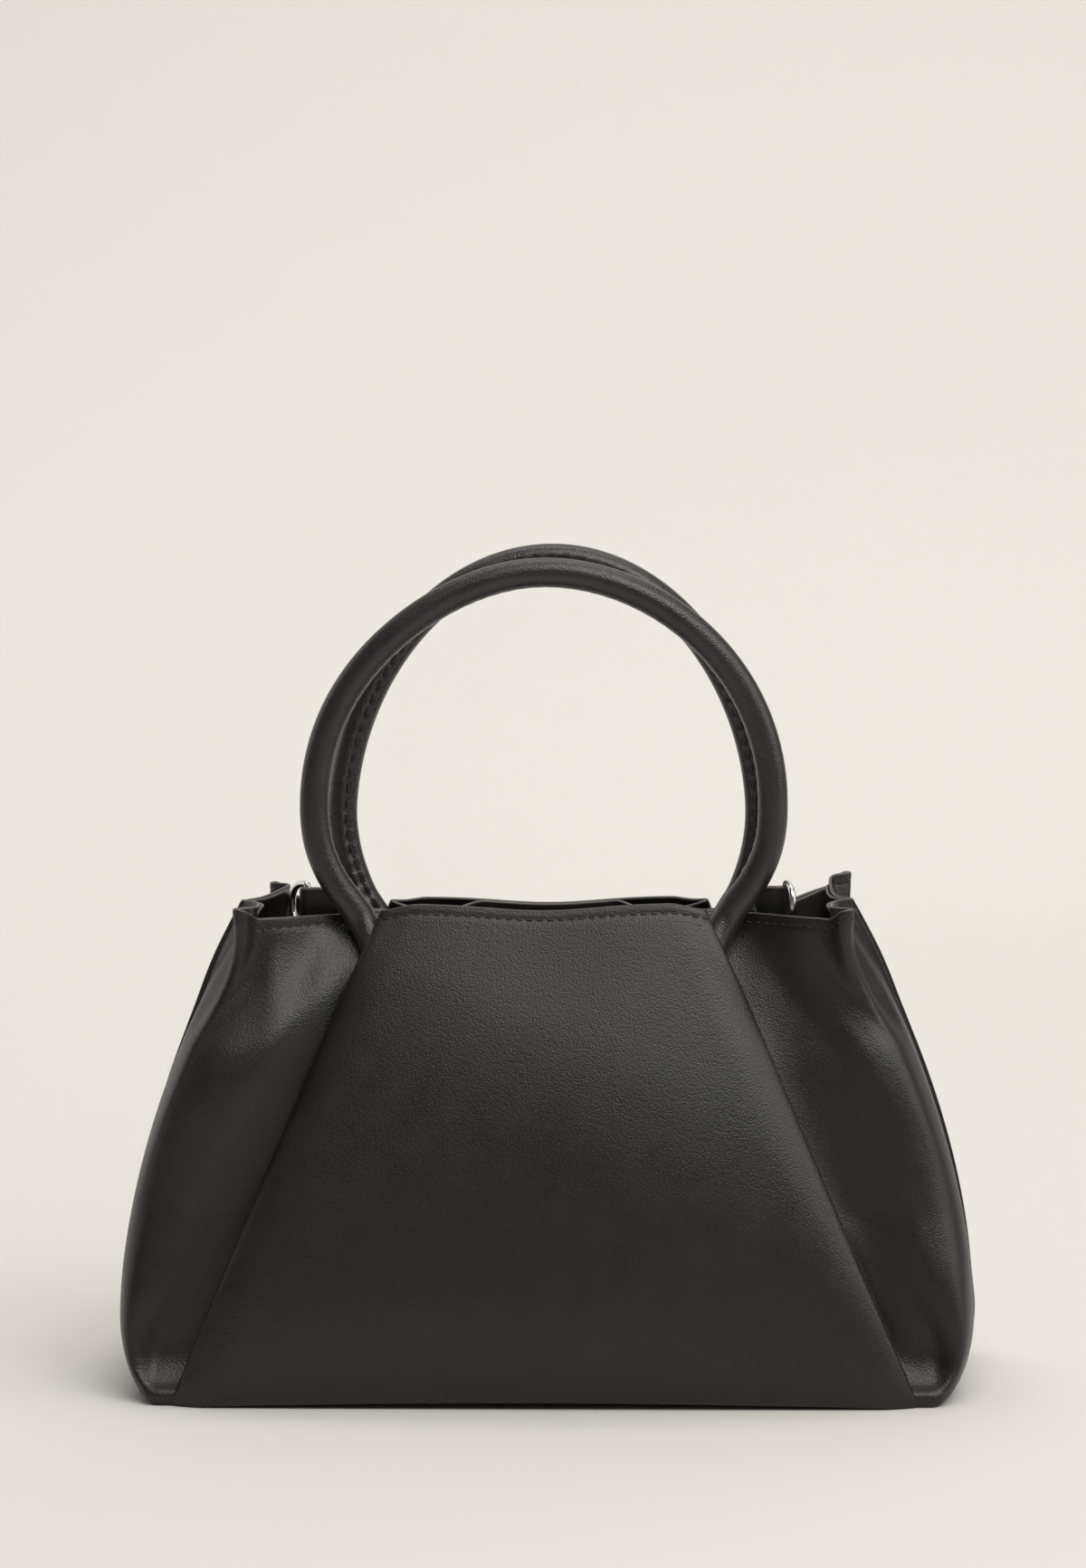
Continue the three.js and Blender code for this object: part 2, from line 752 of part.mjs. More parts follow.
// Upright sheet drawn in X and Z and given a thickness in Y
function uprightSheet(points, thickness, middle) {
  const geometry = raisedOutline(points, thickness);
  geometry.rotateX(Math.PI / 2);
  geometry.translate(0, middle + thickness / 2, 0);
  return geometry;
}

const pocketTop = bodyHeight - pocketTopDrop;
const pocketBottom = liningBottom + fitGap;
const earTop = pocketTop + earHeight;

// Centre pocket: two walls with raised ears for the tabs, and an edge strip at each side
function buildPocket() {
  const outline = [
    { x: -pocketBottomHalfWidth, y: pocketBottom },
    { x: pocketBottomHalfWidth, y: pocketBottom },
    { x: pocketTopHalfWidth, y: earTop },
    { x: earInner, y: earTop },
    { x: earInner - earSlope, y: pocketTop },
    { x: -earInner + earSlope, y: pocketTop },
    { x: -earInner, y: earTop },
    { x: -pocketTopHalfWidth, y: earTop },
  ];
  const middle = pocketHalfGap + pocketWall / 2;
  addPiece("pocket_front_wall", uprightSheet(outline, pocketWall, -middle), finish(liningColour, 0.85, 0));
  addPiece("pocket_back_wall", uprightSheet(outline, pocketWall, middle), finish(liningColour, 0.85, 0));
  const stripTop = tabBottom - fitGap;
  const slope = (pocketBottomHalfWidth - pocketTopHalfWidth) / (earTop - pocketBottom);
  const edge = (z) => pocketTopHalfWidth + slope * (earTop - z);
  const strip = [
    { x: edge(pocketBottom) - pocketEdgeWidth, y: pocketBottom },
    { x: edge(pocketBottom), y: pocketBottom },
    { x: edge(stripTop), y: stripTop },
    { x: edge(stripTop) - pocketEdgeWidth, y: stripTop },
  ];
  const stripThickness = 2 * (pocketHalfGap - fitGap);
  const right = uprightSheet(strip, stripThickness, 0);
  addPiece("pocket_right_edge", right, finish(liningColour, 0.85, 0));
  addPiece("pocket_left_edge", right.clone(), finish(liningColour, 0.85, 0)).rotation.z = Math.PI;
}

const tabTopHeight = bodyHeight + tabTop;
const tabBottom = tabTopHeight - tabHeight;

// Folded strap tab around the ring's bar
function tabGeometry() {
  const lie = (leather + seamGap) / 2;
  const loop = ringWire / 2 + seamGap + leather / 2;
  const line = [
    { x: tabInnerEnd, y: lie },
    { x: ringBarHalfSpan - tabNeck, y: lie },
    { x: ringBarHalfSpan - tabNeck / 2, y: mix(lie, loop, tabNeckShare) },
  ];
  for (let i = 0; i <= coverSides; i += 1) {
    const angle = mix(tabWrap, -tabWrap, i / coverSides);
    line.push({ x: ringBarHalfSpan + loop * Math.cos(angle), y: loop * Math.sin(angle) });
  }
  line.push({ x: ringBarHalfSpan - tabNeck / 2, y: -mix(lie, loop, tabNeckShare) });
  line.push({ x: ringBarHalfSpan - tabNeck, y: -lie });
  line.push({ x: tabInnerEnd, y: -lie });
  const offset = (sign) => line.map((point, i) => {
    const before = line[Math.max(0, i - 1)];
    const after = line[Math.min(line.length - 1, i + 1)];
    const length = Math.hypot(after.x - before.x, after.y - before.y);
    const reach = (sign * leather) / 2 / length;
    return { x: point.x + (after.y - before.y) * reach, y: point.y - (after.x - before.x) * reach };
  });
  const geometry = raisedOutline([...offset(1), ...offset(-1).reverse()], tabHeight);
  geometry.translate(0, 0, tabBottom);
  return geometry;
}

// D-ring: an upright bar and a half-oval bow
function ringGeometry() {
  const halfBar = tabHeight / 2 + seamGap + ringWire / 2;
  class Bow extends THREE.Curve {
    getPoint(share, target = new THREE.Vector3()) {
      const angle = mix(-Math.PI / 2, Math.PI / 2, share);
      const x = ringBow * Math.cos(angle) ** ringSquareness;
      const z = halfBar * Math.sign(angle) * Math.abs(Math.sin(angle)) ** ringSquareness;
      return target.set(x, 0, z);
    }
  }
  const bow = tubeAlong(roundShape(ringWire / 2, wireSides), new Bow(), ringSteps);
  const bar = new THREE.CylinderGeometry(ringWire / 2, ringWire / 2, 2 * halfBar + ringWire, wireSides);
  bar.rotateX(Math.PI / 2);
  return joined([bow, bar]);
}

function buildRings() {
  const tab = tabGeometry();
  addPiece("right_tab", tab, finish(leatherColour, 0.5, 0));
  addPiece("left_tab", tab.clone(), finish(leatherColour, 0.5, 0)).rotation.z = Math.PI;
  const ring = ringGeometry();
  for (const [name, side] of [["right_ring", 1], ["left_ring", -1]]) {
    const pivot = new THREE.Group();
    pivot.position.set(side * ringBarHalfSpan, 0, tabBottom + tabHeight / 2);
    pivot.rotation.z = (side > 0 ? 0 : Math.PI) - THREE.MathUtils.degToRad(ringSwing);
    bag.add(pivot);
    addPiece(name, ring.clone(), finish(metalColour, 0.2, 1), pivot);
  }
}

const chainBottom = pocketTop + chainLift;
const chainTop = chainBottom + toothHeight;
const tapeTop = chainBottom + toothHeight * tapeShare;
const tapeMiddle = pocketHalfGap - fitGap - tapeThickness / 2;

// Zip tape with its row of teeth on the upper edge
function zipTapeGeometry(shift) {
  const tape = new THREE.BoxGeometry(2 * tapeHalfLength, tapeThickness, tapeHeight);
  tape.translate(0, -tapeMiddle, tapeTop - tapeHeight / 2);
  const pieces = [tape];
  const depth = toothBack + toothReach;
  const count = Math.floor((zipCloseEnd + zipOpenEnd - toothPitch) / toothPitch);
  for (let i = 0; i < count; i += 1) {
    const tooth = new THREE.BoxGeometry(toothWidth, depth, toothHeight);
    const x = -zipOpenEnd + toothPitch * (i + 0.5) + shift;
    tooth.translate(x, (toothReach - toothBack) / 2, chainBottom + toothHeight / 2);
    pieces.push(tooth);
  }
  return joined(pieces);
}

function stopGeometry() {
  const stop = new THREE.BoxGeometry(stopLength, 2 * toothBack, stopHeight);
  stop.translate(0, 0, tapeTop + fitGap + stopHeight / 2);
  return stop;
}

// Slider: a cap over the chain with flanges at both sides, waisted in plan, and two lugs with the pull's pin
const sliderTop = chainTop + seamGap + sliderPlate;
const pinHeight = sliderTop + pullEye / 2 + fitGap;

function sliderGeometry() {
  const inner = toothBack + seamGap;
  const outer = inner + sliderFlange;
  const low = pocketTop + seamGap;
  const profile = [
    { x: -outer, y: low },
    { x: -inner, y: low },
    { x: -inner, y: chainTop + seamGap },
    { x: inner, y: chainTop + seamGap },
    { x: inner, y: low },
    { x: outer, y: low },
    { x: outer, y: sliderTop },
    { x: -outer, y: sliderTop },
  ];
  const cap = raisedOutline(profile, sliderLength);
  cap.rotateX(Math.PI / 2);
  cap.rotateZ(Math.PI / 2);
  cap.translate(-sliderLength / 2, 0, 0);
  const half = sliderLength / 2 + seamGap;
  const plan = [
    { x: -half, y: -outer + sliderWaist / 2 },
    { x: -half / 2, y: -outer - fitGap },
    { x: half / 4, y: -outer + sliderWaist / 3 },
    { x: half, y: -outer + sliderWaist * 0.8 },
    { x: half, y: outer - sliderWaist * 0.8 },
    { x: half / 4, y: outer - sliderWaist / 3 },
    { x: -half / 2, y: outer + fitGap },
    { x: -half, y: outer - sliderWaist / 2 },
  ];
  const trim = raisedOutline(plan, sliderTop - low + 2 * seamGap);
  trim.translate(0, 0, low - seamGap);
  const body = toSolid(cap).intersect(toSolid(trim));
  const lugShape = [
    { x: -pullEye / 2 - seamGap, y: sliderTop - sliderPlate / 2 },
    { x: pullEye / 2 + seamGap, y: sliderTop - sliderPlate / 2 },
    { x: pullPin, y: pinHeight + pullPin * 0.6 },
    { x: pullPin / 2, y: pinHeight + pullPin },
    { x: -pullPin / 2, y: pinHeight + pullPin },
    { x: -pullPin, y: pinHeight + pullPin * 0.6 },
  ];
  const side = (lugGap + lugThickness) / 2;
  const pin = new THREE.CylinderGeometry(pullPin / 2, pullPin / 2, lugGap + lugThickness, 10);
  pin.translate(0, 0, pinHeight);
  const front = uprightSheet(lugShape, lugThickness, -side);
  const back = uprightSheet(lugShape, lugThickness, side);
  return toGeometry(body.add(toSolid(front)).add(toSolid(back)).add(toSolid(pin)));
}

// Pull: an eye on the pin, a neck and a flat rounded plate
function pullGeometry() {
  const eyeRadius = pullEye / 2;
  const bore = pullPin / 2 + fitGap;
  const eye = new THREE.Shape();
  eye.absarc(0, 0, eyeRadius, 0, 2 * Math.PI, false);
  const hole = new THREE.Path();
  hole.absarc(0, 0, bore, 0, 2 * Math.PI, true);
  eye.holes.push(hole);
  const eyeWidth = lugGap - 2 * fitGap;
  const ring = new THREE.ExtrudeGeometry(eye, { depth: eyeWidth, bevelEnabled: false, curveSegments: 10 });
  ring.rotateX(Math.PI / 2);
  ring.translate(0, eyeWidth / 2, 0);
  const plate = new THREE.Shape();
  const near = -(eyeRadius + bore) / 2;
  const far = -pullLength;
  plate.moveTo(near, -eyeWidth / 2);
  plate.lineTo(near, eyeWidth / 2);
  plate.lineTo(-eyeRadius - pullNeck, eyeWidth / 2);
  plate.lineTo(-eyeRadius - pullNeck - pullShoulder, pullWidth / 2);
  plate.lineTo(far + pullWidth / 2, pullWidth / 2);
  plate.absarc(far + pullWidth / 2, 0, pullWidth / 2, Math.PI / 2, (3 * Math.PI) / 2, false);
  plate.lineTo(-eyeRadius - pullNeck - pullShoulder, -pullWidth / 2);
  plate.lineTo(-eyeRadius - pullNeck, -eyeWidth / 2);
  const bladeCut = { depth: pullThickness, bevelEnabled: false, curveSegments: 8 };
  const blade = new THREE.ExtrudeGeometry(plate, bladeCut);
  blade.translate(0, 0, -pullThickness / 2);
  return joined([ring, blade]);
}

function buildZip() {
  const front = zipTapeGeometry(0);
  const back = mirrored(zipTapeGeometry(toothPitch / 2), 1, -1);
  addPiece("zip_front_tape", front, finish(tapeColour, 0.8, 0));
  addPiece("zip_back_tape", back, finish(tapeColour, 0.8, 0));
  const stopGap = stopLength / 2 + fitGap;
  addPiece("zip_closed_stop", stopGeometry(), finish(metalColour, 0.3, 1)).position.x = zipCloseEnd + stopGap;
  addPiece("zip_open_stop", stopGeometry(), finish(metalColour, 0.3, 1)).position.x = -zipOpenEnd - stopGap;
  const carriage = new THREE.Group();
  carriage.position.x = zipCloseEnd - sliderLength / 2 - fitGap;
  bag.add(carriage);
  addPiece("zip_slider", sliderGeometry(), finish(metalColour, 0.3, 1), carriage);
  const pull = addPiece("zip_pull", pullGeometry(), finish(metalColour, 0.3, 1), carriage);
  pull.position.z = pinHeight;
  pull.rotation.y = -Math.asin((pinHeight - pullThickness / 2 - fitGap - chainTop) / pullLength);
}

buildBody();
buildHandles();
buildPocket();
buildRings();
buildZip();

export default bag;
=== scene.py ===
# Tote bag with a folded front, rolled ring handles and a zipped centre pocket, dressed over its frame.
# Sizes in the dictionaries are millimetres, as the bag is measured; meshes come out in metres.
import math
import bpy
import numpy as np
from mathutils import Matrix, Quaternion, Vector


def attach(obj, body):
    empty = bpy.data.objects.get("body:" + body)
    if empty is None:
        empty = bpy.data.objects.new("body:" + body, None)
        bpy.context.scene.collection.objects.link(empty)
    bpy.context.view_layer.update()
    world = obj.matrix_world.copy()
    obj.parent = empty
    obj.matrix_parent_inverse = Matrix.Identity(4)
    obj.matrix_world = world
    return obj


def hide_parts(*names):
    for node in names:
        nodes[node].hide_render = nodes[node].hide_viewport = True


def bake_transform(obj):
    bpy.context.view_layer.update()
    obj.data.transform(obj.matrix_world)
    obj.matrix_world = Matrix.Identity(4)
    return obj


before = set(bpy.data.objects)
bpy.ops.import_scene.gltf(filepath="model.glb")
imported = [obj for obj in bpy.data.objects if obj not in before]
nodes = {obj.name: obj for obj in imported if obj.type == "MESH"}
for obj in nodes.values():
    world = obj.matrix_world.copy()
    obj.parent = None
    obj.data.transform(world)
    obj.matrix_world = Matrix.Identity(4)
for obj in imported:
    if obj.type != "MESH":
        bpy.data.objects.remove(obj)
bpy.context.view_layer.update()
scene = bpy.context.scene
toMetres = 0.001
print("frame loaded:", len(nodes), "nodes")


def addObject(name, data):
    thing = bpy.data.objects.new(name, data)
    scene.collection.objects.link(thing)
    return thing


# Camera: a long lens a little above the rim, seen slightly from the right
view = {
    "distance": 1500.0, "azimuth": 3.0, "elevation": 5.0, "roll": -0.5, "target": (-0.7, 0.0, 199.1),
    "lens": 103.87,
}


def makeCamera():
    a, e = math.radians(view["azimuth"]), math.radians(view["elevation"])
    back = Vector((math.sin(a) * math.cos(e), -math.cos(a) * math.cos(e), math.sin(e)))
    data = bpy.data.cameras.new("camera")
    data.lens = view["lens"]
    data.sensor_width = 36.0
    data.clip_end = 50.0
    camera = addObject("camera", data)
    camera.location = (Vector(view["target"]) + back * view["distance"]) * toMetres
    camera.rotation_mode = "QUATERNION"
    roll = Quaternion((0.0, 0.0, 1.0), math.radians(view["roll"]))
    camera.rotation_quaternion = (-back).to_track_quat("-Z", "Y") @ roll
    scene.camera = camera


makeCamera()
print("camera set")


# Small helpers on whole arrays
def smooth(low, high, value):
    # cubic ease, 0 below low and 1 above high
    share = np.clip((value - low) / (high - low), 0.0, 1.0)
    return share * share * (3.0 - 2.0 * share)


def mix(a, b, share):
    return a + (b - a) * share


def hump(value, middle, width):
    # bell curve of height 1
    return np.exp(-(((value - middle) / width) ** 2))


def unit(vectors):
    return vectors / np.maximum(np.linalg.norm(vectors, axis=-1, keepdims=True), 1e-12)


def splineThrough(points, steps):
    # Smooth line through control points, (rows, points, n): cubic pieces whose slope at a point is the
    # mean of its two chords, each weighted by the length of the other. steps[i] samples lie on piece i,
    # and the last point is kept.
    chord = np.diff(points, axis=1)
    length = np.maximum(np.linalg.norm(chord, axis=2, keepdims=True), 1e-6)
    slope = chord / length
    before, after = length[:, :-1], length[:, 1:]
    middle = (slope[:, :-1] * after + slope[:, 1:] * before) / (before + after)
    tangent = np.concatenate([slope[:, :1], middle, slope[:, -1:]], axis=1)
    pieces = []
    for i, count in enumerate(steps):
        t = np.linspace(0.0, 1.0, count, endpoint=False)[None, :, None]
        start, end = points[:, i:i + 1], points[:, i + 1:i + 2]
        rise = length[:, i:i + 1]
        pieces.append(
            (2 * t**3 - 3 * t**2 + 1) * start + (t**3 - 2 * t**2 + t) * rise * tangent[:, i:i + 1]
            + (3 * t**2 - 2 * t**3) * end + (t**3 - t**2) * rise * tangent[:, i + 1:i + 2]
        )
    pieces.append(points[:, len(steps):len(steps) + 1])
    return np.concatenate(pieces, axis=1)


def sharesAlong(values, steps):
    # values at control points, carried evenly over the samples that splineThrough makes
    pieces = [np.linspace(values[i], values[i + 1], n, endpoint=False) for i, n in enumerate(steps)]
    return np.concatenate([*pieces, values[len(steps):len(steps) + 1]])


def gridFaces(rows, columns, wrapRows=False, wrapColumns=False):
    # quads of a grid, rows up and columns to the right as seen from outside
    r = np.arange(rows if wrapRows else rows - 1)
    c = np.arange(columns if wrapColumns else columns - 1)
    r, c = np.meshgrid(r, c, indexing="ij")
    up, right = (r + 1) % rows, (c + 1) % columns
    quads = [r * columns + c, r * columns + right, up * columns + right, up * columns + c]
    return np.stack(quads, axis=-1).reshape(-1, 4).tolist()


def tubeFaces(rings, sides):
    # a closed tube, capped at both ends
    last = (rings - 1) * sides
    caps = [list(range(sides))[::-1], list(range(last, last + sides))]
    return gridFaces(rings, sides, wrapColumns=True) + caps


def gridOf(*parts):
    return np.stack(np.broadcast_arrays(*parts), axis=2)


def travelAlong(path):
    # distance from the start of a line to each of its points
    return np.concatenate([[0.0], np.cumsum(np.linalg.norm(np.diff(path, axis=0), axis=1))])


def addPiece(name, points, faces, material, cutEdge=None):
    mesh = bpy.data.meshes.new(name)
    mesh.from_pydata((points.reshape(-1, 3) * toMetres).tolist(), [], faces)
    mesh.polygons.foreach_set("use_smooth", np.ones(len(mesh.polygons), dtype=bool))
    if cutEdge is not None:
        mark = mesh.attributes.new("cutEdge", "FLOAT", "POINT")
        mark.data.foreach_set("value", cutEdge.astype(np.float32).ravel())
    mesh.materials.append(material)
    mesh.update()
    return addObject(name, mesh)


def fit(piece, bodyName, node):
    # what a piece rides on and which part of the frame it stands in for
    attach(piece, bodyName)
    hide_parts(node)


def outwardOf(middle):
    # unit normals of a grid of points: the way along a row crossed with the way up a column
    return unit(np.cross(np.gradient(middle, axis=1), np.gradient(middle, axis=0)))


def sheetPiece(name, middle, thickness, material, lipSteps=3, rawEnds=1.0):
    # Sheet of one thickness round a grid of middle points: outer face, half-round upper lip, inner face and
    # half-round lower lip make one loop of rows, and a cap closes each end
    rows, columns = middle.shape[:2]
    out = outwardOf(middle)
    up = unit(np.gradient(middle, axis=0))
    half = thickness / 2
    turn = np.linspace(0, np.pi, lipSteps + 2)[1:-1, None, None]
    upperLip = middle[-1] + half * (np.cos(turn) * out[-1] + np.sin(turn) * up[-1])
    lowerLip = middle[0] - half * (np.cos(turn) * out[0] + np.sin(turn) * up[0])
    loop = np.concatenate([middle + half * out, upperLip, (middle - half * out)[::-1], lowerLip])
    total = len(loop)
    faces = gridFaces(total, columns, wrapRows=True)
    outer = np.arange(rows - 1)
    inner = 2 * rows + lipSteps - 1 - outer
    left = np.stack([outer, outer + 1, inner - 1, inner], axis=1) * columns
    right = left[:, ::-1] + columns - 1
    upperCap = np.arange(rows - 1, rows + lipSteps + 1) * columns
    lowerCap = np.append(np.arange(2 * rows + lipSteps - 1, total), 0) * columns
    faces += left.tolist() + right.tolist()
    faces += [upperCap.tolist(), lowerCap.tolist()]
    faces += [(upperCap[::-1] + columns - 1).tolist(), (lowerCap[::-1] + columns - 1).tolist()]
    edge = np.zeros((total, columns))
    edge[rows:rows + lipSteps] = 1.0
    edge[:, [0, -1]] = rawEnds
    return addPiece(name, loop, faces, material, edge)


def halfTurned(points):
    # the same form on the other side of the bag, turned half way round the upright axis
    return points * np.array([-1.0, -1.0, 1.0])


rear = {
    "leftIn": 6.0, "leftUp": 2.5, "rightUp": 6.0, "dip": 2.0, "upper": (105.0, 161.0),
    "middle": (44.0, 58.0), "cornerX": (66.0, 96.0), "cornerY": (4.0, 25.0),
}


def rearSide(points):
    # the back half, turned round: its left corner is drawn in, both corners stand up and its middle dips
    turned = halfTurned(points)
    x, y, z = turned[..., 0], turned[..., 1], turned[..., 2]
    high = smooth(*rear["upper"], z)
    corner = smooth(*rear["cornerX"], np.abs(x)) * smooth(*rear["cornerY"], y) * high
    middle = (1.0 - smooth(*rear["middle"], np.abs(x))) * high
    movedX = x + rear["leftIn"] * corner * (x < 0.0)
    movedZ = z + corner * np.where(x > 0.0, rear["rightUp"], rear["leftUp"]) - rear["dip"] * middle
    return np.stack([movedX, y, movedZ], axis=-1)


# Materials
def startMaterial(name):
    material = bpy.data.materials.new(name)
    material.use_nodes = True
    nodeTree = material.node_tree
    return material, nodeTree, nodeTree.nodes["Principled BSDF"]


def feed(tree, node, **values):
    # links and numbers for a node's inputs, or values for its settings
    for key, value in values.items():
        if key not in node.inputs:
            setattr(node, key, value)
        elif isinstance(value, bpy.types.NodeSocket):
            tree.links.new(value, node.inputs[key])
        else:
            node.inputs[key].default_value = value
    return node


def addNode(tree, kind, **values):
    return feed(tree, tree.nodes.new(kind), **values)


def placedNode(tree, kind, **values):
    # a node that is fed with the piece's own coordinates
    return addNode(tree, kind, Vector=addNode(tree, "ShaderNodeTexCoord").outputs["Object"], **values)


def rampBetween(tree, source, low, high, dark, pale):
    ramp = addNode(tree, "ShaderNodeValToRGB", Fac=source)
    for stop, position, colour in zip(ramp.color_ramp.elements, (low, high), (dark, pale)):
        stop.position = position
        stop.color = (*colour, 1.0)
    return ramp.outputs["Color"]


def numberBetween(tree, source, low, high, first=0.0, last=1.0, kind="LINEAR"):
    span = {"Value": source, "From Min": first, "From Max": last, "To Min": low, "To Max": high}
    return addNode(tree, "ShaderNodeMapRange", interpolation_type=kind, **span).outputs["Result"]


def combine(tree, operation, *parts):
    # arithmetic on sockets and plain numbers
    node = addNode(tree, "ShaderNodeMath", operation=operation)
    for socket, part in zip(node.inputs, parts):
        if isinstance(part, float):
            socket.default_value = part
        else:
            tree.links.new(part, socket)
    return node.outputs["Value"]


def mixColours(tree, share, first, second):
    colour = addNode(tree, "ShaderNodeMix", data_type="RGBA", Factor=share, A=first, B=(*second, 1.0))
    return colour.outputs["Result"]


def bumpFrom(tree, height, kind):
    bump = addNode(tree, "ShaderNodeBump", Strength=kind["bump"], Distance=kind["depth"], Height=height)
    return bump.outputs["Normal"]


grain = {
    "cells": 1700.0, "softness": 0.6, "fineness": 2.2, "unevenness": 90.0, "bump": 0.55, "depth": 0.00020,
    "dark": (0.0050, 0.0047, 0.0045), "pale": (0.0085, 0.0080, 0.0075), "mottle": (0.3, 0.75),
    "cutEdge": (0.085, 0.078, 0.070), "rough": (0.34, 0.44),
}


def leatherMaterial(name, edgeShare=1.0, roughShift=0.0, paintedLightGain=1.0):
    # pebbled grain: creases between small cells, broken up by a slower noise; cut edges are a warm grey
    material, tree, shader = startMaterial(name)
    cells = placedNode(tree, "ShaderNodeTexVoronoi", feature="SMOOTH_F1", Scale=grain["cells"],
                       Smoothness=grain["softness"])
    fine = placedNode(tree, "ShaderNodeTexNoise", Scale=grain["cells"] * grain["fineness"], Detail=3.0)
    broad = placedNode(tree, "ShaderNodeTexNoise", Scale=grain["unevenness"], Detail=4.0).outputs["Fac"]
    height = combine(tree, "ADD", numberBetween(tree, cells.outputs["Distance"], 1.0, 0.0),
                     numberBetween(tree, fine.outputs["Fac"], 0.0, 0.5))
    # a gain above 1 on both grain tones is painted light: a lighter copy of the same black leather
    dark, pale = (tuple(paintedLightGain * part for part in grain[key]) for key in ("dark", "pale"))
    hide = rampBetween(tree, broad, *grain["mottle"], dark, pale)
    edge = addNode(tree, "ShaderNodeAttribute", attribute_name="cutEdge").outputs["Fac"]
    colour = mixColours(tree, numberBetween(tree, edge, 0.0, edgeShare), hide, grain["cutEdge"])
    rough = numberBetween(tree, broad, *(part + roughShift for part in grain["rough"]))
    normal = bumpFrom(tree, height, grain)
    feed(tree, shader, **{"Base Color": colour, "Roughness": rough, "Normal": normal})
    return material


weave = {
    "threads": 2600.0, "perWave": 20, "dark": (0.006, 0.006, 0.006), "pale": (0.020, 0.0195, 0.019),
    "bump": 0.5, "depth": 0.00012, "rough": 0.85,
}


def weaveMaterial(name, dark, pale, threads):
    # two crossed sets of threads, as waves along X and along Z
    material, tree, shader = startMaterial(name)
    scale = threads / weave["perWave"]
    waves = [placedNode(tree, "ShaderNodeTexWave", bands_direction=way, Scale=scale, Distortion=0.4)
             for way in "XZ"]
    height = combine(tree, "MAXIMUM", *(wave.outputs["Fac"] for wave in waves))
    colour = rampBetween(tree, height, 0.2, 1.0, dark, pale)
    normal = bumpFrom(tree, height, weave)
    feed(tree, shader, **{"Base Color": colour, "Roughness": weave["rough"], "Normal": normal})
    return material


def mottledMaterial(name, scale, detail, dark, pale, roughness):
    # matt, between two tones
    material, tree, shader = startMaterial(name)
    tone = placedNode(tree, "ShaderNodeTexNoise", Scale=scale, Detail=detail).outputs["Fac"]
    colour = rampBetween(tree, tone, 0.3, 0.7, dark, pale)
    feed(tree, shader, **{"Base Color": colour, "Roughness": roughness})
    return material


def metalMaterial(name, colour, roughness):
    # bright plated wire with faint wear in its gloss
    material, tree, shader = startMaterial(name)
    wear = placedNode(tree, "ShaderNodeTexNoise", Scale=700.0, Detail=5.0).outputs["Fac"]
    worn = rampBetween(tree, wear, 0.35, 0.7, tuple(0.86 * part for part in colour), colour)
    rough = numberBetween(tree, wear, roughness, roughness * 2)
    feed(tree, shader, **{"Base Color": worn, "Roughness": rough, "Metallic": 1.0})
    return material


panelLeather = leatherMaterial("blackLeather")
# facing band: the same black leather four times lighter, painted light so the shaded band inside the mouth
# does not render black
facingLeatherPaintedLit = leatherMaterial("facingLeatherPaintedLit", paintedLightGain=4.0)
# handles: the same black leather 2.6 times lighter, painted light standing in for more light on them from
# the front and top
handleLeatherPaintedLit = leatherMaterial("handleLeatherPaintedLit", edgeShare=0.3, roughShift=-0.1, paintedLightGain=2.6)
liningCloth = weaveMaterial("blackLining", weave["dark"], weave["pale"], weave["threads"])
blackThread = mottledMaterial("blackThread", 2500.0, 2.0, (0.006, 0.006, 0.006), (0.022, 0.021, 0.020), 0.7)
ringMetal = metalMaterial("silverWire", (0.80, 0.79, 0.77), 0.14)
greyBoard = mottledMaterial("greyBoard", 900.0, 6.0, (0.030, 0.027, 0.024), (0.065, 0.060, 0.054), 0.9)
print("materials made")


# Body form, shared by the panels, facings and linings
body = {
    "height": 161.0, "halfWidth": 140.2, "halfDepth": 57.0, "baseHalfWidth": 126.5, "baseHalfDepth": 51.0,
    "mouthHalfWidth": 99.5, "mouthHalfDepth": 21.0, "widestAt": 28.0, "fullestAt": 35.0, "sideCurve": 1.8,
    "frontCurve": 1.7, "crownEdge": 2.0, "crownMiddle": 5.0, "wingDrop": 2.5, "foldDrop": 2.0,
    "cornerRise": -0.7, "rimCrown": -2.2, "crownWidth": 24.0, "easeFrom": (0.55, 0.6, 0.8),
    "middleLift": 2.2, "liftTo": 40.0, "liftFrom": 20.0, "leather": 1.2,
}
pleat = {
    "foldBottom": 121.5, "foldTop": 53.0, "bow": 0.3, "depth": 19.0, "startAt": 3.0, "gap": 1.1,
    "lead": 7.0, "leadLow": 2.5, "leadAt": 60.0, "stepLow": 7.0, "stepTop": 12.0, "scoopAt": 18.0,
    "scoopCurve": 2.4, "openAt": 106.0, "openSpan": 47.0, "turnLeast": 0.42, "roll": 0.3, "before": 0.45,
    "after": 0.33, "wingFrom": 0.35, "wingTo": 0.8, "bowl": 3.5, "bowlTop": (35.0, 100.0),
    "bowlFade": (18.0, 90.0), "bowlStart": (0.45, 0.18), "bowlStartAt": (14.0, 50.0), "bowlEnd": 0.97,
    "lip": 3.0, "lipRound": 3.5, "lipRise": 42.0, "rollBack": 3.4, "rollWidth": 14.0, "rollCurve": 2.4,
    "rollTo": (125.0, 150.0),
}
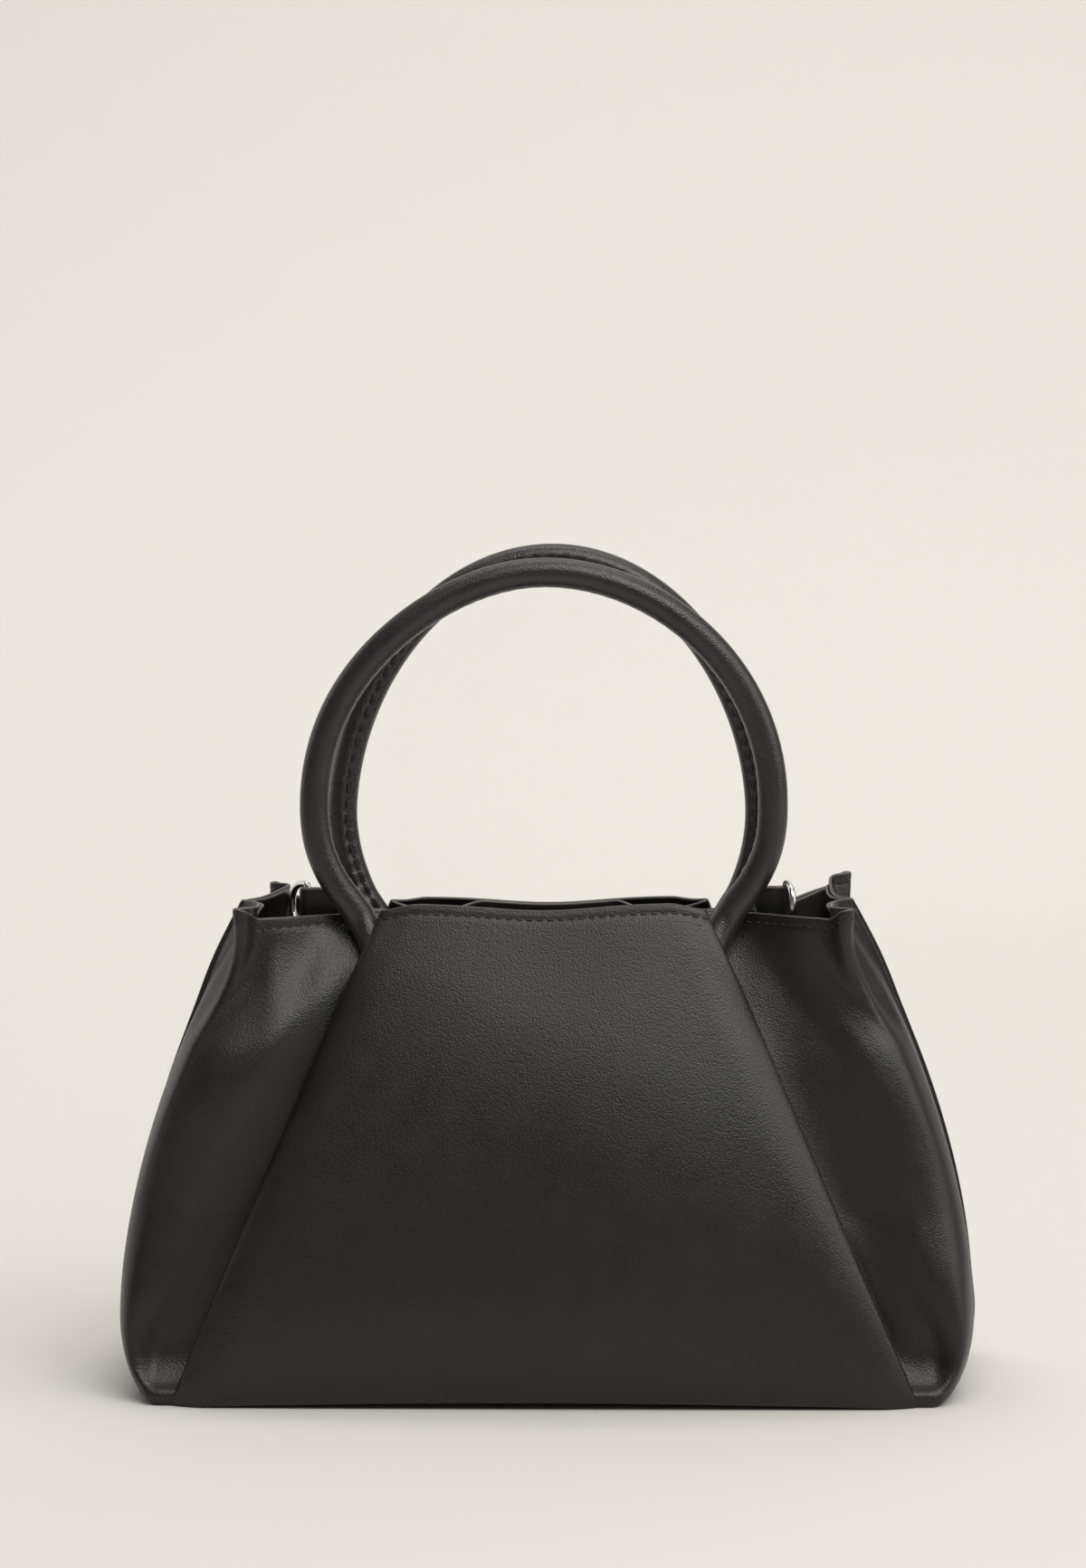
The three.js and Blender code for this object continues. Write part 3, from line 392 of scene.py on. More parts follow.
pinch = {
    "halfWidth": 100.0, "halfDepth": (27.5, 33.0), "length": 6.8, "start": 3.0, "angle": 0.69,
    "stitch": 3.0, "fold": 20.0, "fade": 45.0, "closing": 1.25, "shoulder": (11.0, 8.0),
    "shoulderRise": (50.0, 118.0),
    "shoulderFrom": ((0.0, 0.3), (0.12, 0.55)), "shoulderTo": (0.6, 0.9), "sink": 1.6,
    "sinkFrom": (12.0, 40.0), "sinkTo": (125.0, 150.0), "seamTurn": 2.2, "rest": 0.52, "tuck": 5.0,
    "turn": 0.45, "draw": 0.72, "toeRoundness": 5.0, "roundness": 3.0, "roundAt": (45.0, 125.0),
    "nestGap": 0.4, "footGap": 0.95, "tubeGap": 2.0, "allowance": 0.6, "lipOut": (0.42, 1.3, 0.6),
    "lipBack": (-1.2, -0.74, -0.68),
}
handle = {
    "radius": 4.9, "footSpan": 62.9, "footHeight": 160.0, "footClear": 0.3, "tuck": 26.0, "endDepth": 21.0,
    "endLean": 9.0, "sides": 40, "rearShift": 1.1, "seamFrom": 14.0,
    "front": (75.4, 109.7, 33.2, (0.12, 0.04), 3.5, 0.9),
    "rear": (69.9, 113.4, 30.3, (0.057, 0.057), 1.0, -0.9),
}
rimAt, leather = body["height"], body["leather"]


def reachAt(z, fullest, base, full, mouth, curve):
    # quarter ellipse from the base out to the fullest place, then a slow power curve in to the mouth
    low = 1.0 - np.clip(z / fullest, 0.0, 1.0)
    share = np.clip((z - fullest) / (rimAt - fullest), 0.0, 1.0)
    return np.where(z < fullest, mix(base, full, np.sqrt(1.0 - low**2)), mix(full, mouth, share**curve))


def sideReach(z):
    widths = (body["baseHalfWidth"], body["halfWidth"], body["mouthHalfWidth"])
    return reachAt(z, body["widestAt"], *widths, body["sideCurve"])


def frontReach(z):
    depths = (body["baseHalfDepth"], body["halfDepth"], body["mouthHalfDepth"])
    return reachAt(z, body["fullestAt"], *depths, body["frontCurve"])


def foldReach(z):
    share = z / rimAt
    return mix(pleat["foldBottom"], pleat["foldTop"], share) + 4.0 * pleat["bow"] * share * (1.0 - share)


def overlapDepth(z):
    return pleat["depth"] * np.maximum(0.0, (z - pleat["startAt"]) / (rimAt - pleat["startAt"]))


def scoopShare(z, lip):
    # a round lip, then a hollow whose floor curves up to the wall behind it
    rest = 1.0 - np.clip((z - lip) / pleat["scoopAt"], 0.0, 1.0)
    return (1.0 - rest ** pleat["scoopCurve"]) * smooth(lip, lip + pleat["lipRound"], z)


def wingStep(z):
    # how far the wing lies behind the centre face: a scoop low down and a slot for the handle at the top
    bowl = pleat["bowl"] * (1.0 - smooth(*pleat["bowlTop"], z))
    scoop = (pleat["stepLow"] + bowl) * scoopShare(z, pleat["lip"])
    opened = smooth(pleat["openAt"], pleat["openAt"] + pleat["openSpan"], z)
    return scoop + (pleat["stepTop"] - pleat["stepLow"]) * opened


def bowlBack(z, shares):
    # how far the wing lies back low at the corner, inside a lip that climbs by a square law to the side
    kept = (1.0 - smooth(*pleat["bowlFade"], z)) * np.maximum(0.0, wingStep(z) - 1.0)
    lip = pleat["lip"] + pleat["lipRise"] * shares**2
    across = np.sin(shares * np.pi / 2) ** (2 / pinch["toeRoundness"])
    start = mix(*pleat["bowlStart"], smooth(*pleat["bowlStartAt"], z))
    rest = 1.0 - smooth(start, pleat["bowlEnd"], across)
    return kept * rest * scoopShare(z, lip) / np.maximum(scoopShare(z, pleat["lip"]), 1e-6)


def leadAt(z):
    return mix(pleat["leadLow"], pleat["lead"], smooth(0.0, pleat["leadAt"], z))


def returnStep(z):
    return np.minimum(leather + pleat["gap"], wingStep(z) / 2)


def centreFace(x, z):
    crown = body["crownEdge"] + body["crownMiddle"] * np.sin(np.pi * np.clip(z / rimAt, 0.0, 1.0))
    nearFold = np.clip((x - foldReach(z)) / pleat["rollWidth"] + 1.0, 0.0, 1.0) ** pleat["rollCurve"]
    roll = pleat["rollBack"] * nearFold * (1.0 - smooth(*pleat["rollTo"], z))
    return frontReach(z) - crown * np.clip(x / foldReach(z), 0.0, 1.0) ** 2 - roll


centreColumns = 28
pleatSteps = [6, 18, 8, 18, 5]
pleatColumns = sum(pleatSteps) + 1


def pleatLine(z):
    # The S of a pleat in plan, x(s) a cubic with its two turns set so that the layers overlap by the
    # pleat's depth; the face steps back behind the fold and again behind the valley. z is a column of
    # heights.
    depth, fold, lead = overlapDepth(z), foldReach(z), leadAt(z)
    half = lead - depth / 2
    low, high = np.maximum(0.0, -2.0 * half), np.full_like(z, 400.0)
    for _ in range(50):
        middle = (low + high) / 2
        wide = 0.5 * middle * np.sqrt(middle / (3 * middle + 4 * half + 1e-9)) > depth / 2
        low, high = np.where(wide, low, middle), np.where(wide, middle, high)
    pull = low + 2 * half
    turn = np.maximum(pleat["turnLeast"], np.sqrt(low / (3 * low + 4 * half + 1e-9)))
    marks = [-1.0 + 0 * turn, -turn - pleat["roll"], -turn + pleat["roll"], turn - pleat["before"],
             turn + pleat["after"], 1.0 + 0 * turn]
    stretches = [mix(marks[i], marks[i + 1], np.linspace(0, 1, n, endpoint=False))
                 for i, n in enumerate(pleatSteps)]
    s = np.concatenate([*stretches, marks[-1]], axis=1)
    x = fold - depth / 2 + 0.75 * s * (2 * half - pull) + 0.25 * s**3 * (3 * pull - 2 * half)
    back = returnStep(z)
    behind = back * smooth(-turn - pleat["roll"], -turn + pleat["roll"], s)
    step = behind + (wingStep(z) - back) * smooth(turn - pleat["before"], turn + pleat["after"], s)
    y = -(centreFace(x, z) - step)
    return gridOf(x, y), smooth(-turn - pleat["wingFrom"], pleat["wingTo"], s)


cornerShares = np.array([
    0, 0.22, 0.43, 0.58, 0.6, 0.615, 0.63, 0.645, 0.66, 0.675, 0.69, 0.73, 0.82, 0.92, 1,
])
cornerSteps = [8, 8, 8, 5, 4, 4, 4, 4, 4, 4, 5, 8, 8, 6]
footColumn = centreColumns + pleatColumns + sum(cornerSteps[:3]) - 1


def cornerPoints(z, start, side):
    # Control points of wing, corner and gusset in plan: a rounded corner low down, which closes to a
    # pinched tube at the rim. z is a column of heights, start holds the wing's first points, and side is
    # 0 for left and 1 for right.
    halfDepth = pinch["halfDepth"][side]
    zero = 0.0 * z[:, 0]
    seam = np.stack([sideReach(z[:, 0]), zero - pinch["seamTurn"]], axis=1)
    angle = cornerShares * np.pi / 2
    power = 2 / mix(pinch["toeRoundness"], pinch["roundness"], smooth(*pinch["roundAt"], z))
    across = np.sin(angle) ** power
    along = np.abs(np.cos(angle)) ** power
    sunk = pinch["sink"] * smooth(*pinch["sinkFrom"], z) * (1.0 - smooth(*pinch["sinkTo"], z))
    roundX = mix(start[:, :1], seam[:, :1], across) - sunk * smooth(0.84, 1.0, cornerShares)
    roundY = mix(seam[:, 1:], start[:, 1:] - bowlBack(z, 0.0), along)
    shoulder = smooth(*pinch["shoulderFrom"][side], cornerShares)
    shoulder = shoulder * (1.0 - smooth(*pinch["shoulderTo"], cornerShares))
    roundY = roundY - pinch["shoulder"][side] * shoulder * smooth(*pinch["shoulderRise"], z)
    rounded = gridOf(roundX, roundY)
    folded = smooth(rimAt - pinch["fold"], rimAt - pinch["stitch"], z[:, 0])
    length = mix(pinch["start"], pinch["length"], folded)
    way = np.array([math.cos(pinch["angle"]), -math.sin(pinch["angle"])])
    aside = np.array([math.sin(pinch["angle"]), math.cos(pinch["angle"])])
    tip = np.array([pinch["halfWidth"], -halfDepth]) + aside * pinch["footGap"]

    def fin(share, gap):
        return tip + (length * (share - 1.0))[:, None] * way + gap * aside

    foot, tube = pinch["footGap"], pinch["tubeGap"]
    nestX = zero + handle["footSpan"] + handle["radius"] + pinch["nestGap"]
    nest = np.stack([nestX, start[:, 1] - pinch["nestGap"]], axis=1)
    valley = np.stack([seam[:, 0] - pinch["tuck"], zero - halfDepth / 2], axis=1)
    gusset = mix(valley, seam, np.array([pinch["turn"], pinch["draw"]]))
    pinched = np.stack([
        start, nest, mix(nest, fin(0.0, -foot), pinch["rest"]), fin(0.0, -foot), fin(0.35, -0.8 * tube),
        fin(0.62, -tube), fin(0.9, -0.72 * tube), fin(1.0, 0.0), fin(0.9, 0.72 * tube), fin(0.62, tube),
        fin(0.35, 0.8 * tube), fin(0.0, foot), valley, gusset, seam,
    ], axis=1)
    closed = np.clip((z - rimAt + pinch["fade"]) / (pinch["fade"] - pinch["stitch"]), 0.0, 1.0)
    return mix(rounded, pinched, (closed ** pinch["closing"])[:, :, None])


def rimRise(z, x, wing, corner, nearFold):
    # the rim dips in its middle, along the wings, at the corners and at the folds, eased in from below
    side, middle, fold = (smooth(rimAt * share, rimAt, z) for share in body["easeFrom"])
    rise = side * (corner * body["cornerRise"] - wing * (1.0 - corner) * body["wingDrop"])
    rise = rise + middle * body["rimCrown"] * hump(x, 0.0, body["crownWidth"]) * (1.0 - wing)
    return rise - body["foldDrop"] * nearFold * fold * (1.0 - corner)


def panelHalf(z, side):
    # one half of the folded panel, laid out as a right half: rows run from the middle line to the seam's
    # outer edge
    lead = foldReach(z) - leadAt(z)
    x = lead * np.linspace(0.0, 1.0, centreColumns, endpoint=False)
    centre = gridOf(x, -centreFace(x, z))
    fold, wingShare = pleatLine(z)
    before = fold[:, -3:-2].copy()
    before[:, :, 1] -= bowlBack(z, 0.0)
    control = np.concatenate([before, cornerPoints(z, fold[:, -1], side)], axis=1)
    corner = splineThrough(control, [1, *cornerSteps])[:, 2:]
    shares = sharesAlong(cornerShares, cornerSteps)[1:]
    first, last = fold[:, -1:, 0], corner[:, -1:, 0]
    across = np.clip((corner[:, :, 0] - first) / (last - first), 0.0, 1.0)
    corner[:, :, 1] += bowlBack(z, np.arcsin(across ** (pinch["toeRoundness"] / 2)) * 2 / np.pi)
    cornerShare = smooth(0.56, 0.64, shares)
    seam = corner[:, -1:]
    flange = pinch["allowance"] * smooth(0.0, body["widestAt"], z) + leather
    lipX = seam[:, :, 0] + pinch["lipOut"] + flange * np.array([0.0, 0.0, 1.0])
    lip = gridOf(lipX, pinch["lipBack"])
    lip = splineThrough(np.concatenate([seam, lip], axis=1), [2, 2, 4])[:, 1:]
    plan = np.concatenate([centre, fold, corner, lip], axis=1)
    wings = np.ones((len(z), corner.shape[1] + lip.shape[1]))
    wing = np.concatenate([np.zeros((len(z), centreColumns)), wingShare, wings], axis=1)
    corners = np.concatenate([np.zeros(centreColumns + pleatColumns), cornerShare, np.ones(lip.shape[1])])
    toFold = np.maximum.accumulate(np.clip(plan[:, :, 0] / foldReach(z), 0.0, 1.0), axis=1)
    rise = rimRise(z, plan[:, :, 0], wing, corners[None, :], smooth(0.78, 1.0, toFold))
    lift = body["middleLift"] * np.clip(1.0 - (plan[:, :, 0] / pleat["foldBottom"]) ** 2, 0.0, 1.0)
    onFront = plan[:, :, 1] < -body["liftFrom"]
    rise = rise + lift * (1.0 - smooth(0.0, body["liftTo"], z)) * onFront
    return np.concatenate([plan, (np.maximum(z, leather / 2) + rise)[:, :, None]], axis=2)


def bothHalves(left, right):
    mirror = left[:, :0:-1] * np.array([-1.0, 1.0, 1.0])
    return np.concatenate([mirror, right], axis=1)


soft = {
    "sag": 0.7, "sagFrom": (2.0, 30.0), "sagTo": (135.0, 158.0), "sagSide": (3.0, 14.0), "turnUnder": 8.0,
    "wingRidge": (1.1, 0.3), "ridgeAt": (88.0, 71.0), "ridgeWidth": 5.0, "ridgeFrom": (95.0, 140.0),
    "ridgeTo": (150.0, 161.0), "groove": 0.28, "grooveAt": 2.7, "grooveWidth": 0.8,
    "evenRows": 0.13,
}


def panelGrid():
    # middle of the whole panel: turned under at the base, then up to the rim, with soft unevenness added
    t = np.linspace(0.0, 1.0, 100)
    z = (rimAt * mix(t * t * (3.0 - 2.0 * t), t, soft["evenRows"]))[:, None]  # rows crowd towards both ends
    rows = bothHalves(panelHalf(z, 0), panelHalf(z, 1))
    inset = np.array([1.0, 0.66, 0.33])[:, None, None] * soft["turnUnder"]
    perSize = np.array([1.0 / body["baseHalfWidth"], 1.0 / body["baseHalfDepth"], 0.0])
    under = rows[:1] * (1.0 - inset * perSize)
    x, height = rows[:, :, 0], rows[:, :, 2]
    facing = np.abs(outwardOf(rows)[:, :, 1])
    walls = smooth(*soft["sagFrom"], height) * (1.0 - smooth(*soft["sagTo"], height))
    sag = np.sin(x / 23.0 + height / 41.0 + 0.6) * np.sin(height / 27.0 - x / 61.0 + 1.9)
    sag = soft["sag"] * walls * sag * facing * smooth(*soft["sagSide"], np.abs(rows[:, :, 1]))
    upper = smooth(*soft["ridgeFrom"], height) * (1.0 - 0.5 * smooth(*soft["ridgeTo"], height))
    ridges = sum(hump(np.abs(x), at, soft["ridgeWidth"]) for at in soft["ridgeAt"])
    column = np.abs(np.arange(rows.shape[1]) - rows.shape[1] // 2)
    onWing = (column >= centreColumns + pleatColumns) & (column < footColumn)
    ridges = np.where(x < 0.0, *soft["wingRidge"]) * upper * ridges * onWing
    groove = soft["groove"] * hump(z, rimAt - soft["grooveAt"], soft["grooveWidth"])
    moved = rows + outwardOf(rows) * (-groove)[:, :, None]
    moved[:, :, 1] -= sag + ridges
    return np.concatenate([under, moved]), np.concatenate([np.full(3, -1.0), z[:, 0]])


panelMiddle, panelHeights = panelGrid()


def dressPanels():
    for name, points, node in (("folded_front", panelMiddle, "front_panel"),
                               ("folded_back", rearSide(panelMiddle), "back_panel")):
        fit(sheetPiece(name, points, leather, panelLeather), "bag", node)


dressPanels()
print("panels made:", panelMiddle.shape)


# Facing band and lining, which pass behind the pleat and across the pinched tube
inside = {
    "facing": 1.0, "lining": 0.6, "gap": 0.4, "facingFrom": 135.0, "liningTop": 138.3, "liningFrom": 4.6,
    "ease": 1.0, "clear": 4.8, "clearTo": 74.0, "seamGap": 0.7, "slack": 0.5, "slackFrom": (8.0, 40.0),
}
innerSteps = [8, 6, 6, 3, 4, 4, 8, 6, 6, 6, 6, 6]


def innerHalf(z, distance, side):
    # the panel's line without its folds, drawn inwards by a distance
    fold, _ = pleatLine(z)
    turn = foldReach(z) - overlapDepth(z) - distance - leather
    wing = -fold[:, -1:, 1] - distance
    flat = turn - 9.0
    x = np.concatenate([flat * np.array([0.0, 0.4, 0.75]), flat - 5.0, flat], axis=1)
    face = centreFace(x, z) - distance
    nearX = np.concatenate([x, turn - 4.0, turn], axis=1)
    nearY = -np.concatenate([face, mix(face[:, 4:], wing, 0.5), wing], axis=1)
    near = gridOf(nearX, nearY)
    corner = cornerPoints(z, fold[:, -1], side)
    corner[:, :, 1] += bowlBack(z, cornerShares)
    foot = (corner[:, 3:4] + corner[:, 11:12]) / 2
    line = np.concatenate([corner[:, 1:3], foot, corner[:, 12:]], axis=1)
    way = unit(np.gradient(line, axis=1))
    line = line + gridOf(-way[:, :, 1], way[:, :, 0]) * distance
    line[:, :, 1] = np.minimum(line[:, :, 1], -inside["seamGap"])
    plan = splineThrough(np.concatenate([near, line], axis=1), innerSteps)
    layers = sum(innerSteps[:7])  # columns that lie against the pleat
    plan[:, :layers, 1] = np.minimum(plan[:, :layers, 1], inside["ease"] - wing)
    most = np.where(plan[:, :, 0] < inside["clearTo"], -inside["clear"], np.inf)
    plan[:, :, 1] = np.minimum(plan[:, :, 1], most)
    shares = np.concatenate([np.zeros(7), cornerShares[[1, 2, 3, 12, 13, 14]]])
    wings = sharesAlong(np.array([0, 0, 0, 0, 0, 0.5, 1, 1, 1, 1, 1, 1, 1.0]), innerSteps)
    corners = smooth(0.56, 0.8, sharesAlong(shares, innerSteps))
    toFold = np.clip(plan[:, :, 0] / foldReach(z), 0.0, 1.0)
    rise = rimRise(z, plan[:, :, 0], wings[None, :], corners[None, :], smooth(0.55, 0.9, toFold))
    return np.concatenate([plan, (z + rise)[:, :, None]], axis=2)


def dressInside():
    facingAt = leather / 2 + inside["gap"] + inside["facing"] / 2
    liningAt = facingAt + inside["facing"] / 2 + 2 * inside["gap"] + inside["lining"] / 2
    upper = np.linspace(inside["facingFrom"], rimAt - 0.3, 26)[:, None]
    lower = np.linspace(inside["liningFrom"], inside["liningTop"], 70)[:, None]
    facing = bothHalves(innerHalf(upper, facingAt, 0), innerHalf(upper, facingAt, 1))
    lining = bothHalves(innerHalf(lower, liningAt, 0), innerHalf(lower, liningAt, 1))
    wave = np.sin(lining[:, :, 0] / 9.0 + lining[:, :, 2] / 31.0)
    lining[:, :, 1] += inside["slack"] * wave * smooth(*inside["slackFrom"], lining[:, :, 2])
    for side, turned in (("front", lambda p: p), ("back", rearSide)):
        band = sheetPiece(side + "_band", turned(facing), inside["facing"], facingLeatherPaintedLit)
        cloth = sheetPiece(side + "_cloth", turned(lining), inside["lining"], liningCloth)
        fit(band, "bag", side + "_facing")
        fit(cloth, "bag", side + "_lining")


dressInside()
print("facings and linings made")


# Base panel and lining floor, drawn in from the outline of the lowest row
base = {"turnIn": 8.4, "floorInset": 5.5, "floorFrom": 3.8}


def dressBase():
    # across the base each column runs straight from the front edge to the back edge
    edge = panelMiddle[3]
    across = np.linspace(-1.0, 1.0, 15)[:, None]

    def flatGrid(inset, height):
        x = edge[:, 0] * (1.0 - inset / body["baseHalfWidth"])
        y = across * np.abs(edge[:, 1]) * (1.0 - inset / body["baseHalfDepth"])
        return gridOf(x[None, :], y, height)

    sole = sheetPiece("base_skin", flatGrid(base["turnIn"], leather / 2), leather, panelLeather)
    floor = flatGrid(base["floorInset"], base["floorFrom"] + inside["lining"] / 2)
    cloth = sheetPiece("floor_cloth", floor, inside["lining"], liningCloth)
    fit(sole, "bag", "base_panel")
    fit(cloth, "bag", "lining_floor")


dressBase()
print("base made")


# Rolled handles: each is one tube from deep in one pleat, over the ring and down into the other pleat
seam = {
    "groove": 0.6, "width": 0.75, "pucker": 0.9, "puckerWidth": 2.6, "pitch": 5.0, "stitch": 3.4,
    "sink": 0.55, "flat": 0.77, "flatTo": (138.0, 152.0), "frontAngle": 140.0, "rearAngle": 112.0,
}


def footDepth():
    # the feet stand just behind the centre face
    face = centreFace(np.array(pleat["foldTop"]), np.array(handle["footHeight"]))
    return float(face) - leather / 2 - handle["radius"] - handle["footClear"]


def handlePath(halfWidth, rise, centreRise, peaks, peakPower, lean):
    # upright oval, a little peaked and leaning at its top, whose feet draw in by a square law, then a
    # short curve down between fold and wing
    height = rise - centreRise
    sweep = math.pi - math.acos(min(1.0, centreRise / height))
    angle = np.linspace(-sweep, sweep, 45)
    z = centreRise + height * np.cos(angle)
    low = np.maximum(0.0, 1.0 - z / handle["tuck"])
    upper = np.maximum(np.cos(angle), 0.0)
    x = halfWidth * np.sin(angle) * (1.0 - np.where(angle < 0.0, *peaks) * upper**peakPower) + lean * upper
    x = x - np.sign(angle) * (halfWidth * math.sin(sweep) - handle["footSpan"]) * low**2
    ring = np.stack([x, np.full_like(x, -footDepth()), handle["footHeight"] + z], axis=1)
    share = np.array([0.2, 0.42, 0.7, 1.0])
    endZ = handle["footHeight"] - handle["endDepth"] * share
    slot = -(centreFace(foldReach(endZ) - leadAt(endZ), endZ) - (returnStep(endZ) + wingStep(endZ)) / 2)
    endX = handle["footSpan"] - handle["endLean"] * (1.0 - (1.0 - share) ** 1.6)
    end = np.stack([endX, mix(-footDepth(), slot, smooth(0.0, 0.7, share)), endZ], axis=1)
    path = np.concatenate([end[::-1] * np.array([-1.0, 1.0, 1.0]), ring, end])
    return splineThrough(path[None], [5] * (len(path) - 1))[0]


def rolledTube(path, seamAngle):
    # round section carried along the path, with a sewn groove that puckers at every stitch
    way = unit(np.gradient(path, axis=0))
    outward = unit(np.cross(way, np.array([0.0, 1.0, 0.0])))
    aside = np.cross(outward, way)
    length = travelAlong(path)[:, None]
    around = -np.linspace(0.0, 2 * np.pi, handle["sides"], endpoint=False)[None, :]
    off = (around - seamAngle + np.pi) % (2 * np.pi) - np.pi
    off = off * handle["radius"]
    wave = np.cos(2 * np.pi * length / seam["pitch"])
    radius = handle["radius"] - seam["groove"] * hump(off, 0.0, seam["width"])
    radius = radius - seam["pucker"] * (0.5 + 0.5 * wave) * hump(off, 0.0, seam["puckerWidth"])
    squeeze = mix(seam["flat"], 1.0, smooth(*seam["flatTo"], path[:, 2]))[:, None]
    points = path[:, None, :] + (radius * np.cos(around))[:, :, None] * outward[:, None, :]
    points = points + (radius * np.sin(around) * squeeze)[:, :, None] * aside[:, None, :]
    toSeam = math.cos(seamAngle) * outward + math.sin(seamAngle) * aside
    inSeam = path + (handle["radius"] - seam["sink"]) * toSeam
    return points, inSeam, unit(inSeam - path)


def dressHandles():
    for side, turned in (("front", lambda p: p), ("rear", halfTurned)):
        name = side + "_handle"
        path = handlePath(*handle[side])
        path[:, 0] -= handle["rearShift"] * (side == "rear")
        points, inSeam, outward = rolledTube(path, math.radians(seam[side + "Angle"]))
        tube = addPiece(name + "_roll", turned(points), tubeFaces(*points.shape[:2]), handleLeatherPaintedLit)
        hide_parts(name + "_cover", name + "_core")
        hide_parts(side + "_right_handle_end", side + "_left_handle_end")
        onRing = inSeam[:, 2] > handle["footHeight"] + handle["seamFrom"]
        sewn = [(turned(inSeam[onRing]), turned(outward[onRing]))]
        stitches = stitchPiece(name + "_stitches", sewn, seam["pitch"], seam["stitch"])
        for piece in (tube, stitches):
            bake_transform(piece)


# Stitches: short bent capsules laid along a line on a surface
stitch = {
    "pitch": 3.4, "length": 2.5, "radius": 0.3, "rise": 0.3, "sink": 0.08, "sides": 6, "rings": 6,
    "tuckHeight": 11.0, "tuckGap": 0.6,
}


def stitchForm(path, outward, pitch, length):
    # one capsule per pitch of the line's length; its ends sink into the leather
    travel = travelAlong(path)
    count = max(1, int(travel[-1] // pitch))
    t = np.linspace(-0.5, 0.5, stitch["rings"])
    at = (np.arange(count)[:, None] + 0.5) * travel[-1] / count + t * length
    centre = np.stack([np.interp(at, travel, path[:, k]) for k in range(3)], axis=2)
    normal = unit(np.stack([np.interp(at, travel, outward[:, k]) for k in range(3)], axis=2))
    way = unit(np.gradient(centre, axis=1))
    aside = np.cross(way, normal)
    centre = centre + normal * (stitch["rise"] * (1.0 - (2 * t) ** 2) - stitch["sink"])[None, :, None]
    radius = stitch["radius"] * np.sqrt(np.maximum(0.05, 1.0 - (2 * t) ** 6))[None, :, None, None]
    angle = np.linspace(0.0, 2 * np.pi, stitch["sides"], endpoint=False)[None, None, :, None]
    around = np.cos(angle) * aside[:, :, None] + np.sin(angle) * normal[:, :, None]
    return centre[:, :, None] + radius * around


def stitchPiece(name, lines, pitch, length):
    sets = np.concatenate([stitchForm(path, outward, pitch, length) for path, outward in lines])
    one, each = tubeFaces(stitch["rings"], stitch["sides"]), stitch["rings"] * stitch["sides"]
    faces = [[corner + i * each for corner in face] for i in range(len(sets)) for face in one]
    return addPiece(name, sets, faces, blackThread)


def dressStitches():
    # a line just under the rim, and a short upright line that closes each pinched corner
    out = outwardOf(panelMiddle)
    surface = panelMiddle + out * (leather / 2)
    row = np.interp(rimAt - soft["grooveAt"], panelHeights, np.arange(len(panelHeights)))
    low, share = int(row), row - int(row)
    rim = (mix(surface[low], surface[low + 1], share), out[low])
    centre = panelMiddle.shape[1] // 2
    upright = (panelHeights > rimAt - stitch["tuckHeight"]) & (panelHeights < rimAt - stitch["tuckGap"])
    lines = [(rim[0][3:-3], rim[1][3:-3])]
    for column in (centre - footColumn + 2, centre + footColumn - 2):
        lines.append((surface[upright, column], out[upright, column]))
    rearLines = [(rearSide(path), halfTurned(normal)) for path, normal in lines]
    for side, sewn in (("front", lines), ("back", rearLines)):
        piece = stitchPiece(side + "_stitches", sewn, stitch["pitch"], stitch["length"])
        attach(piece, "bag")


dressHandles()
dressStitches()
print("handles and stitches made")


# Centre pocket: two slack walls with ears for the tabs, bound together at their sides
pocket = {
    "bottom": 4.9, "top": 150.0, "earTop": 160.0, "bottomHalf": 112.0, "topHalf": 69.0, "earFrom": 59.5,
    "earTo": 62.5, "wall": 1.0, "middle": 2.3, "slack": 1.4, "band": 134.0, "bindWidth": 6.0,
    "bindTop": 153.1, "bindOut": 0.75, "bindRound": 1.2, "binding": 0.7,
}


def pocketHalf(z):
    # half the pocket's width at a height
    share = (z - pocket["bottom"]) / (pocket["earTop"] - pocket["bottom"])
    return mix(pocket["bottomHalf"], pocket["topHalf"], share)


def pocketWall():
    # front wall: columns across, rows up to a top edge that rises to an ear at each side
    atEars = np.array([0.87, 0.88, 0.89, 0.9])  # more columns where the ears rise
    u = np.sort(np.concatenate([np.linspace(-1.0, 1.0, 61), -atEars, atEars]))[None, :]
    v = np.linspace(0.0, 1.0, 48)[:, None]
    ear = smooth(pocket["earFrom"], pocket["earTo"], np.abs(u) * pocket["topHalf"])
    z = mix(pocket["bottom"], mix(pocket["top"], pocket["earTop"], ear), v)
    x = u * pocketHalf(z)
    loose = smooth(5.0, 40.0, z) * (1.0 - smooth(100.0, 132.0, z)) * (1.0 - np.abs(u) ** 4)
    wave = 0.5 + 0.5 * np.sin(x / 13.0 + z / 37.0) * np.sin(z / 29.0 + x / 71.0 + 0.8)
    return gridOf(x, -pocket["middle"] - pocket["slack"] * loose * wave, z)


def bindingStrip():
    # right side: a strip folded round both walls, leaning with the pocket's side
    z = np.linspace(pocket["bottom"], pocket["bindTop"], 40)[:, None]
    out = pocket["middle"] + pocket["wall"] / 2 + pocket["bindOut"]
    turn = np.linspace(-np.pi / 2, np.pi / 2, 13)
    wide, half = -pocket["bindWidth"], -pocket["bindWidth"] / 2
    across = np.concatenate([[wide, half], pocket["bindRound"] * np.cos(turn), [half, wide]])
    depth = np.concatenate([[-out, -out], out * np.sin(turn), [out, out]])
    return gridOf(pocketHalf(z) + across[None, :], depth[None, :], z)


